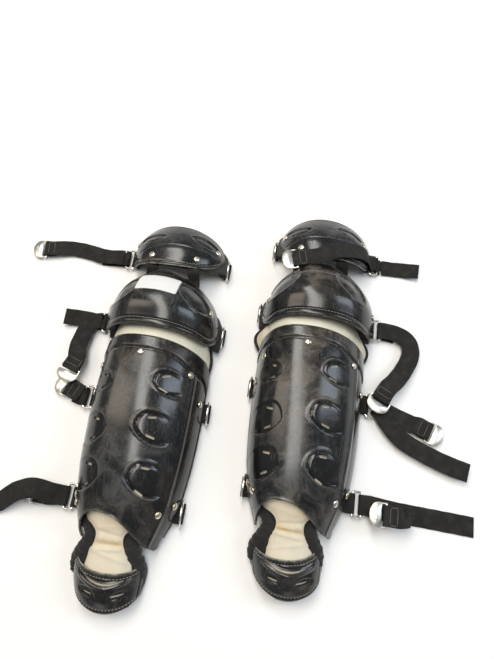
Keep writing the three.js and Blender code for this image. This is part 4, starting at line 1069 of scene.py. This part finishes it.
BAR_HEIGHT, OVERHANG = 7.0, {"strap": 6.0, "ring": 3.0}
LEVELS = {"thigh": (THIGH, 372, "thigh"), "knee": (KNEE, 262, "knee"), "calf": (SHIN, 147, "shin"),
          "ankle": (SHIN, 14, "shin")}


def half_turn(centre, outward, radius, steps=8):
    """Half a turn round a bar, from below to above, on the side that it faces."""
    angle = np.linspace(-np.pi / 2, np.pi / 2, steps + 1)
    outward = np.array((*outward, 0)[:3], float)
    return [np.array(centre) + radius * (outward * math.cos(a) + UP * math.sin(a)) for a in angle]


def bar_at(level, side, holds):
    """The middle of the bar that the cross webbing folds round, of a strap's or a plain ring."""
    arch, y, _ = LEVELS[level]
    return np.array((side * (arch.half(y) + OVERHANG[holds]), y, BAR_HEIGHT))


for guard in GUARDS:
    for level, (arch, y, body) in LEVELS.items():
        ends = []
        for side in (-1, 1):
            half = arch.half(y)
            lean = (side * (arch.half(y + 4) - arch.half(y - 4)), 8, 0)
            bar = bar_at(level, side, "strap" if side == OUTER[guard] else "ring")
            ends.append([(np.array((side * (half - 2.5), y, BAR_HEIGHT - 2.8)), ALONG),
                         *[(p, ALONG) for p in half_turn(bar, (side, 0), FOLD_RADIUS)],
                         (np.array((side * (half - 3.6), y, BAR_HEIGHT + 3.0)), ALONG),
                         (np.array((side * (half - 6.2), y, BAR_HEIGHT + 5.2)), lean)])
        middle = [(arch.at(y, u, 7.0), arch.at(y + 4, u, 7.0) - arch.at(y - 4, u, 7.0))
                  for u in np.linspace(0.085, 0.915, 19)]
        *form, drawn = ribbon(ends[0] + middle + ends[1][::-1], WIDTH, WEB_WALL)
        piece(f"{guard}_{level}_cross_web", guard, *form, WEBBING, body, "webbing",
              [f"{level}_webbing"], drawn)

# ---- Links between knee and thigh ----------------------------------------------------------------
# Two strips of black webbing run from under the knee cap to rivets in the thigh plate.
LINK_WIDTH, LINK_DEPTH = 17, 5.2
for guard in GUARDS:
    strips, drawn = [], {"along": [], "across": []}
    for x in (-34, 30):
        stations = [(np.array((x, y, z)), (1, 0, 0))
                    for y, z in ((304, 46), (313, 42), (321.3, 39), (329, 40))]
        for y in (340, 350, 354, 358):
            under = max(y, 346)
            u = THIGH.over(x, under)
            spot = THIGH.at(under, u) - THIGH.out(under, u) * LINK_DEPTH
            spot[1] = y
            stations.append((spot, (1, 0, 0)))
        *form, own = ribbon(stations, LINK_WIDTH, WEB_WALL)
        strips.append(form)
        for key in drawn:
            drawn[key].append(own[key])
    made = piece(f"{guard}_link_strips", guard, *together(*strips), WEBBING, None, "webbing",
                 ["thigh_link"], {key: np.concatenate(value) for key, value in drawn.items()})
    bent(made, guard, 314, 336, 39)


# ---- Rivets --------------------------------------------------------------------------------------
# Domed nickel-plated rivets hold the webbing and the collar. The plating has gone dull and brassy
# in places.


def plated(name, bright, brassy, rough):
    paint = Finish(name)
    tarnish = paint.between(paint.noise(130, 4, 0.6), 0.42, 0.68)
    scuff = paint.noise(900, 3, 0.6)
    return paint.shade(Base_Color=paint.mix(tarnish, bright, brassy), Metallic=1.0,
                       Roughness=rough + tarnish * 0.16 + scuff * 0.08,
                       Normal=paint.bump(scuff, 0.0001, 0.25))


RIVET = plated("rivet_nickel", (0.82, 0.77, 0.68), (0.66, 0.54, 0.36), 0.2)


RIVET_SIDES, RIVET_TOP = 28, 2.62


def rivet_head(at, out):
    side, up = tangents(out)
    rings = ((4.3, -0.5), (4.6, -0.1), (4.55, 0.35), (4.2, 0.75), (3.6, 1.2), (2.6, 1.65),
             (1.4, 1.92))
    angle = np.linspace(0, 2 * np.pi, RIVET_SIDES, endpoint=False)[:, None]
    points = [at + out * (0.6 + lift) + radius * (np.cos(angle) * side + np.sin(angle) * up)
              for radius, lift in rings]
    base, top, *sides = sleeve(len(rings), RIVET_SIDES)
    fan = [(a, b, len(rings) * RIVET_SIDES) for a, b in zip(top, top[1:] + top[:1])]
    return solid(np.concatenate([*points, [at + out * RIVET_TOP]]), [base, *fan, *sides])


for guard in GUARDS:
    cap, shield = CAPS[guard], SHIELDS[guard]
    places = {
        "shin": [(SHIN, float(SHIN.over(x, y)), y) for x, y in ((-12, 200), (54, 185), (-66, 182))]
        + [(SHIN, 0.875, 153), (SHIN, 0.13, 150), (SHIN, 0.87, 21), (SHIN, 0.13, 18),
           (SHIN, 0.77, 8), (SHIN, 0.21, 9)],
        "knee": {"left": [(cap, 0.14, 273), (cap, 0.83, 280)],
                 "right": [(cap, 0.15, 270), (cap, 0.86, 266)]}[guard],
        "thigh": [(shield, 0.19, 384), (shield, 0.80, 386)]
        + [(shield, float(shield.over(x, y)), y) for x, y in ((-35, 356), (30, 359))],
    }
    for body, spots in places.items():
        heads = [rivet_head(arch.at(y, u), arch.out(y, u)) for arch, u, y in spots]
        piece(f"{guard}_{body}_rivets", guard, *together(*heads), RIVET, body, "steel")

# ---- Rings ---------------------------------------------------------------------------------------
# Bent from 3 mm nickel-plated wire: an oblong ring for each strap on the outer side, and a D-ring
# for its hook on the inner side, stood up against the shell.
WIRE = plated("ring_nickel", (0.86, 0.84, 0.80), (0.70, 0.64, 0.52), 0.14)
WIRE_RADIUS, RING_HALF, RING_REACH, BOW_REACH, RISE = 1.5, WIDTH / 2 + 3, 12, 14, math.radians(87)


def rounded(outline, radius, steps=4):
    """A closed outline with its corners rounded."""
    points = []
    for k, corner in enumerate(outline):
        corner = np.array(corner, float)
        before = np.array(outline[k - 1], float) - corner
        after = np.array(outline[(k + 1) % len(outline)], float) - corner
        r = min(radius, np.linalg.norm(before) / 2.1, np.linalg.norm(after) / 2.1)
        a = corner + before / np.linalg.norm(before) * r
        b = corner + after / np.linalg.norm(after) * r
        for t in np.linspace(0, 1, steps + 1):
            points.append((1 - t) ** 2 * a + 2 * t * (1 - t) * corner + t * t * b)
    return points


def laid(outline, at, facing, stood=0.0):
    """An outline in x and y at a place, turned to face left or right and stood up about its bar."""
    return [np.array(at) + (facing * x * math.cos(stood), facing * y, x * math.sin(stood))
            for x, y in outline]


oblong = rounded([(reach, end * RING_HALF) for reach, end in (
    (0, -1), (RING_REACH, -1), (RING_REACH, 1), (0, 1))], 3.2)
bow = [(3 + BOW_REACH * math.cos(a), RING_HALF * math.sin(a))
       for a in np.linspace(np.pi / 2, -np.pi / 2, 25)]
bow = rounded([(0, RING_HALF), *bow, (0, -RING_HALF)], 2.2, 3)
for guard, outer in OUTER.items():
    for level in LEVELS:
        wire = laid(oblong, bar_at(level, outer, "strap"), outer)
        ring = tube(wire, WIRE_RADIUS, 14, closed=True)
        piece(f"{guard}_{level}_oblong_ring", guard, *ring, WIRE, f"{level}_strap", "steel",
              [f"{level}_strap_ring"])
        wire = laid(bow, bar_at(level, -outer, "ring"), -outer, RISE)
        ring = tube(wire, WIRE_RADIUS, 14, closed=True)
        piece(f"{guard}_{level}_half_ring", guard, *ring, WIRE, f"{level}_ring", "steel",
              [f"{level}_d_ring"])

# ---- Straps and hooks ----------------------------------------------------------------------------
# Straps of 25 mm elastic, looped through the outer rings, each as it fell: a tail, a fold round the
# ring's far bar, and a stretch to the hook, where it is folded back and box-stitched. Hooks are
# stamped and nickel-plated, with a lip curled under the nose.
ELASTIC = webbing("elastic_strap", (0.0095, 0.0092, 0.0084), (0.06, 0.057, 0.05), 1.1)
HOOK = plated("hook_nickel", (0.84, 0.82, 0.77), (0.72, 0.66, 0.55), 0.3)
STRAP_WALL, STRAP_FOLD, HOOK_FOLD = 2.0, 3.0, 2.7
SHIN_SIDE = 77
HOOK_REST = 7.5
BOX_NEAR, BOX_FAR, BOX_HALF, BOX_LIFT = 4.5, 13.5, 10.5, 3.85  # the box of stitches
FISHTAIL = {("left", "knee"): 8.0}  # depth of the notch in a tail


def lifted(u, y, lift):
    return THIGH.at(y, u) + THIGH.out(y, u) * lift


def lays(guard, bars):
    """Each strap's tail, its way to the hook, the hook's place and heading, and whether the tail
    goes under."""
    def beside(level, *points):
        y = bars[level][1]
        return [np.array((OUTER[guard] * (SHIN_SIDE + reach), y + dy, z))
                for reach, dy, z in points]

    if guard == "left":
        return {
            "thigh": (beside("thigh", (51, -1, 1.3), (31, 0, 1.8), (20, 0, 3.2)),
                      beside("thigh", (20, 0, 10), (48, 0, 6.4), (73, 5, 4.5), (101, 7, 5.5)),
                      beside("thigh", (142, -1, HOOK_REST))[0], (-1, -0.15), False),
            "knee": (beside("knee", (81, 0, 9), (53, 2, 3.5), (30, 0, 2.9)),
                     beside("knee", (25, 0, 10.5), (34, -4, 11), (41, -14, 12), (44, -30, 14),
                            (44, -48, 18.5)),
                     beside("knee", (45, -80, 19.5))[0], (-0.3, -0.95), False),
            "calf": (beside("calf", (35, 3, 1.3), (26, 1, 2.6)), [],
                     beside("calf", (44, 10, HOOK_REST))[0], (-0.93, 0.37), False),
            "ankle": (beside("ankle", (115, -30, 2.3), (91, -19, 7), (70, -5, 19), (47, 3, 25),
                             (28, 1, 18),
                             (17, 0, 11.5)),
                      beside("ankle", (14, 0, 4.3), (19, 0, 5.6)),
                      beside("ankle", (45, -1, HOOK_REST))[0], (-1, 0.05), True),
        }
    y = bars["thigh"][1]
    return {
        "thigh": (beside("thigh", (75, -2, 9), (51, 0, 3.5), (27, 0, 2.6)),
                  beside("thigh", (6, 0, 13.5)) + [lifted(u, y + dy, lift) for u, dy, lift in (
                      (0.92, -1, 7), (0.84, -3, 7), (0.76, -6, 6.5), (0.67, -12, 6),
                      (0.57, -20, 6))]
                  + [np.array((-8, 340, 69))], np.array((-40, 333, 64.5)), (-0.97, -0.25), False),
        "knee": (beside("knee", (43, -2, 1.3), (30, 0, 2.4)),
                 beside("knee", (26, 0, 10), (41, -1, 9), (55, -6, 9), (64, -17, 9.5),
                        (65, -33, 11), (59, -50, 13),
                        (50, -67, 17), (41, -80, 20.5)),
                 beside("knee", (24, -106, 19.5))[0], (-0.45, -0.9), False),
        "calf": (beside("calf", (145, -73, 11), (128, -69, 10), (108, -63, 9), (83, -54, 9),
                        (56, -41, 9.5),
                        (37, -22, 10.5), (26, -6, 11)),
                 beside("calf", (25, -1, 4), (48, -9, 2.6), (69, -17, 6)),
                 beside("calf", (93, -25, HOOK_REST))[0], (0.93, -0.37), True),
        "ankle": (beside("ankle", (154, -6, 1.3), (103, -4, 1.3), (53, -2, 1.3), (29, 0, 1.9),
                         (19, 0, 3)),
                  beside("ankle", (19, 0, 10.5), (35, -3, 11.5), (50, -6, 14), (59, -8, 19.5),
                         (59, -9, 26),
                         (53, -10, 30)),
                  beside("ankle", (35, -10, 28))[0], (-1, 0.02), False),
    }


def run(points):
    """Stations of a strap that lies nearly flat through points."""
    stations = []
    for i, point in enumerate(points):
        before, after = points[max(i - 1, 0)], points[min(i + 1, len(points) - 1)]
        stations.append((point, (before[1] - after[1], after[0] - before[0], 0)))
    return stations


def bearings(heading):
    """Directions ahead and aside of a heading in the plan."""
    ahead = np.array((*heading, 0)) / math.hypot(*heading)
    return ahead, np.array((-ahead[1], ahead[0], 0))


SLOT_HALF, SLOT_SIDE = 2.3, 13.4  # half the slot's width and length
PLATE_BACK, PLATE_FRONT, PLATE_SIDE, NOSE = 4.7, 6.65, 15.5, 10.85  # the plate about its slot


def hook_form(at, heading):
    """A stamped plate with a slot for the strap, and the lip folded back under its round nose."""
    corners_at = ((SLOT_HALF, SLOT_SIDE), (-SLOT_HALF, SLOT_SIDE), (-PLATE_BACK, PLATE_SIDE))
    reach = [math.atan2(y, x) for x, y in corners_at]
    angles = sorted(set(np.round(np.concatenate([np.linspace(0, np.pi, 40), reach]), 4)))
    angles = np.array(angles + [-a for a in angles[-2:0:-1]])
    c, s = np.cos(angles), np.sin(angles)

    def box(front, side):
        return np.minimum(front / np.maximum(np.abs(c), 1e-6), side / np.maximum(np.abs(s), 1e-6))

    inner = box(SLOT_HALF, SLOT_SIDE)
    far = np.linspace(0, 24, 400)[:, None]
    inside = ((far * c - PLATE_FRONT) / NOSE) ** 2 + (far * s / PLATE_SIDE) ** 2 <= 1
    nose = np.where(inside, far, 0).max(0)
    outer = box(np.where(c < 0, PLATE_BACK, PLATE_FRONT), PLATE_SIDE)
    outer = np.where(c > 0, np.maximum(outer, nose), outer)
    loops = [np.stack([3.5 + (shape + shift) * c, (shape + shift) * s, np.full(len(c), z)], -1)
             for shape, shift, z in (
                 (inner, 0, 0.45), (inner, 0.35, 0.8), (outer, -0.5, 0.8), (outer, 0, 0.3),
                 (outer, 0, -0.3), (outer, -0.5, -0.8), (inner, 0.35, -0.8), (inner, 0, -0.45))]
    plate = solid(np.concatenate(loops), sleeve(len(loops), len(angles), closed=True))
    curl = [np.array((9.5, 0, -6.4)), *half_turn((16, 0, -3.2), (1, 0), 3.2), np.array((11, 0, 0))]
    lip = ribbon([(p, ALONG) for p in curl], 14, 1.6, 1.0)[:2]
    points, faces = together(plate, lip)
    ahead, aside = bearings(heading)
    return np.array(at) + points[:, :1] * ahead + points[:, 1:2] * aside + points[:, 2:] * UP, faces


for guard, outer in OUTER.items():
    bars = {level: bar_at(level, outer, "strap") + (outer * RING_REACH, 0, 0) for level in LEVELS}
    for level, (tail, way, hook_at, heading, under) in lays(guard, bars).items():
        ahead, aside = bearings(heading)
        fold = [(p, ALONG) for p in half_turn(bars[level], (-outer, 0), STRAP_FOLD)]
        turn_back = [(p, aside) for p in half_turn(hook_at, ahead, HOOK_FOLD)[::-1]]
        stations = run(tail) + (fold[::-1] if under else fold) + run(way)
        stations += [(hook_at - ahead * 16 + UP * HOOK_FOLD, aside), *turn_back,
                     (hook_at - ahead * 16 + UP * 0.3, aside)]
        *form, drawn = ribbon(stations, WIDTH, STRAP_WALL, notch=FISHTAIL.get((guard, level), 0.0))
        piece(f"{guard}_{level}_strap_band", guard, *form, ELASTIC, f"{level}_strap", "webbing",
              [f"{level}_strap_web"], drawn)

        def sewn(back, edge):
            return hook_at - ahead * back + aside * edge + UP * BOX_LIFT

        edges, backs = (-BOX_HALF, BOX_HALF), (BOX_NEAR, BOX_FAR)
        rows = [[sewn(back, edge) for edge in edges] for back in backs]
        rows += [[sewn(back, edge) for back in backs] for edge in edges]
        piece(f"{guard}_{level}_strap_sewing", guard, *stitches(rows, 2.6, 1.7, 0.3), THREAD,
              f"{level}_strap", "webbing")
        piece(f"{guard}_{level}_hook_stamping", guard, *hook_form(hook_at, heading), HOOK,
              f"{level}_hook", "steel", [f"{level}_hook_plate"])

# ---- Stage ---------------------------------------------------------------------------------------
# A pale floor under soft lamps, seen from above the toes at arm's length.
floor = bpy.data.meshes.new("floor")
floor.from_pydata([(-9, -9, 0), (9, -9, 0), (9, 9, 0), (-9, 9, 0)], [], [(0, 1, 2, 3)])
pale = Finish("pale_floor")
PALE = pale.shade(Base_Color=(0.93, 0.93, 0.925), Roughness=0.7, Specular_IOR_Level=0.2)
floor.materials.append(PALE)
ground = stand("floor", floor)
ground.location.z = -0.0004

world = bpy.data.worlds.new("studio")
bpy.context.scene.world = world
world.use_nodes = True
sky = world.node_tree.nodes["Background"].inputs
sky["Color"].default_value, sky["Strength"].default_value = (0.93, 0.96, 1.0, 1), 0.22


def aimed(name, data, place, heading):
    """A lamp or camera that stands at a place and points along a heading."""
    made = stand(name, data)
    made.location = place
    made.rotation_mode = "QUATERNION"
    made.rotation_quaternion = Vector(heading).to_track_quat("-Z", "Y")
    return made


for name, place, size, power, colour in (
        ("ceiling", (-0.15, 0.5, 2.1), (0.6, 2.6), 40, (1.0, 0.98, 0.93)),
        ("window", (1.7, 0.5, 1.5), (0.7, 1.3), 15, (0.76, 0.87, 1.0)),
        ("room", (-1.2, 0.2, 1.7), (0.7, 1.5), 12, (1.0, 0.86, 0.70))):
    light = bpy.data.lights.new(name, "AREA")
    light.shape, light.energy, light.color = "RECTANGLE", power, colour
    light.size, light.size_y = size
    aimed(name, light, place, -Vector(place))

camera = bpy.data.cameras.new("camera")
camera.lens, camera.sensor_width = 27.04, 36
turn, pitch = math.radians(8.4), math.radians(68)
heading = (-math.sin(turn) * math.cos(pitch), math.cos(turn) * math.cos(pitch), -math.sin(pitch))
bpy.context.scene.camera = aimed("camera", camera, (0.05325, -0.1735, 0.69), heading)
bpy.context.scene.view_settings.view_transform = "Standard"
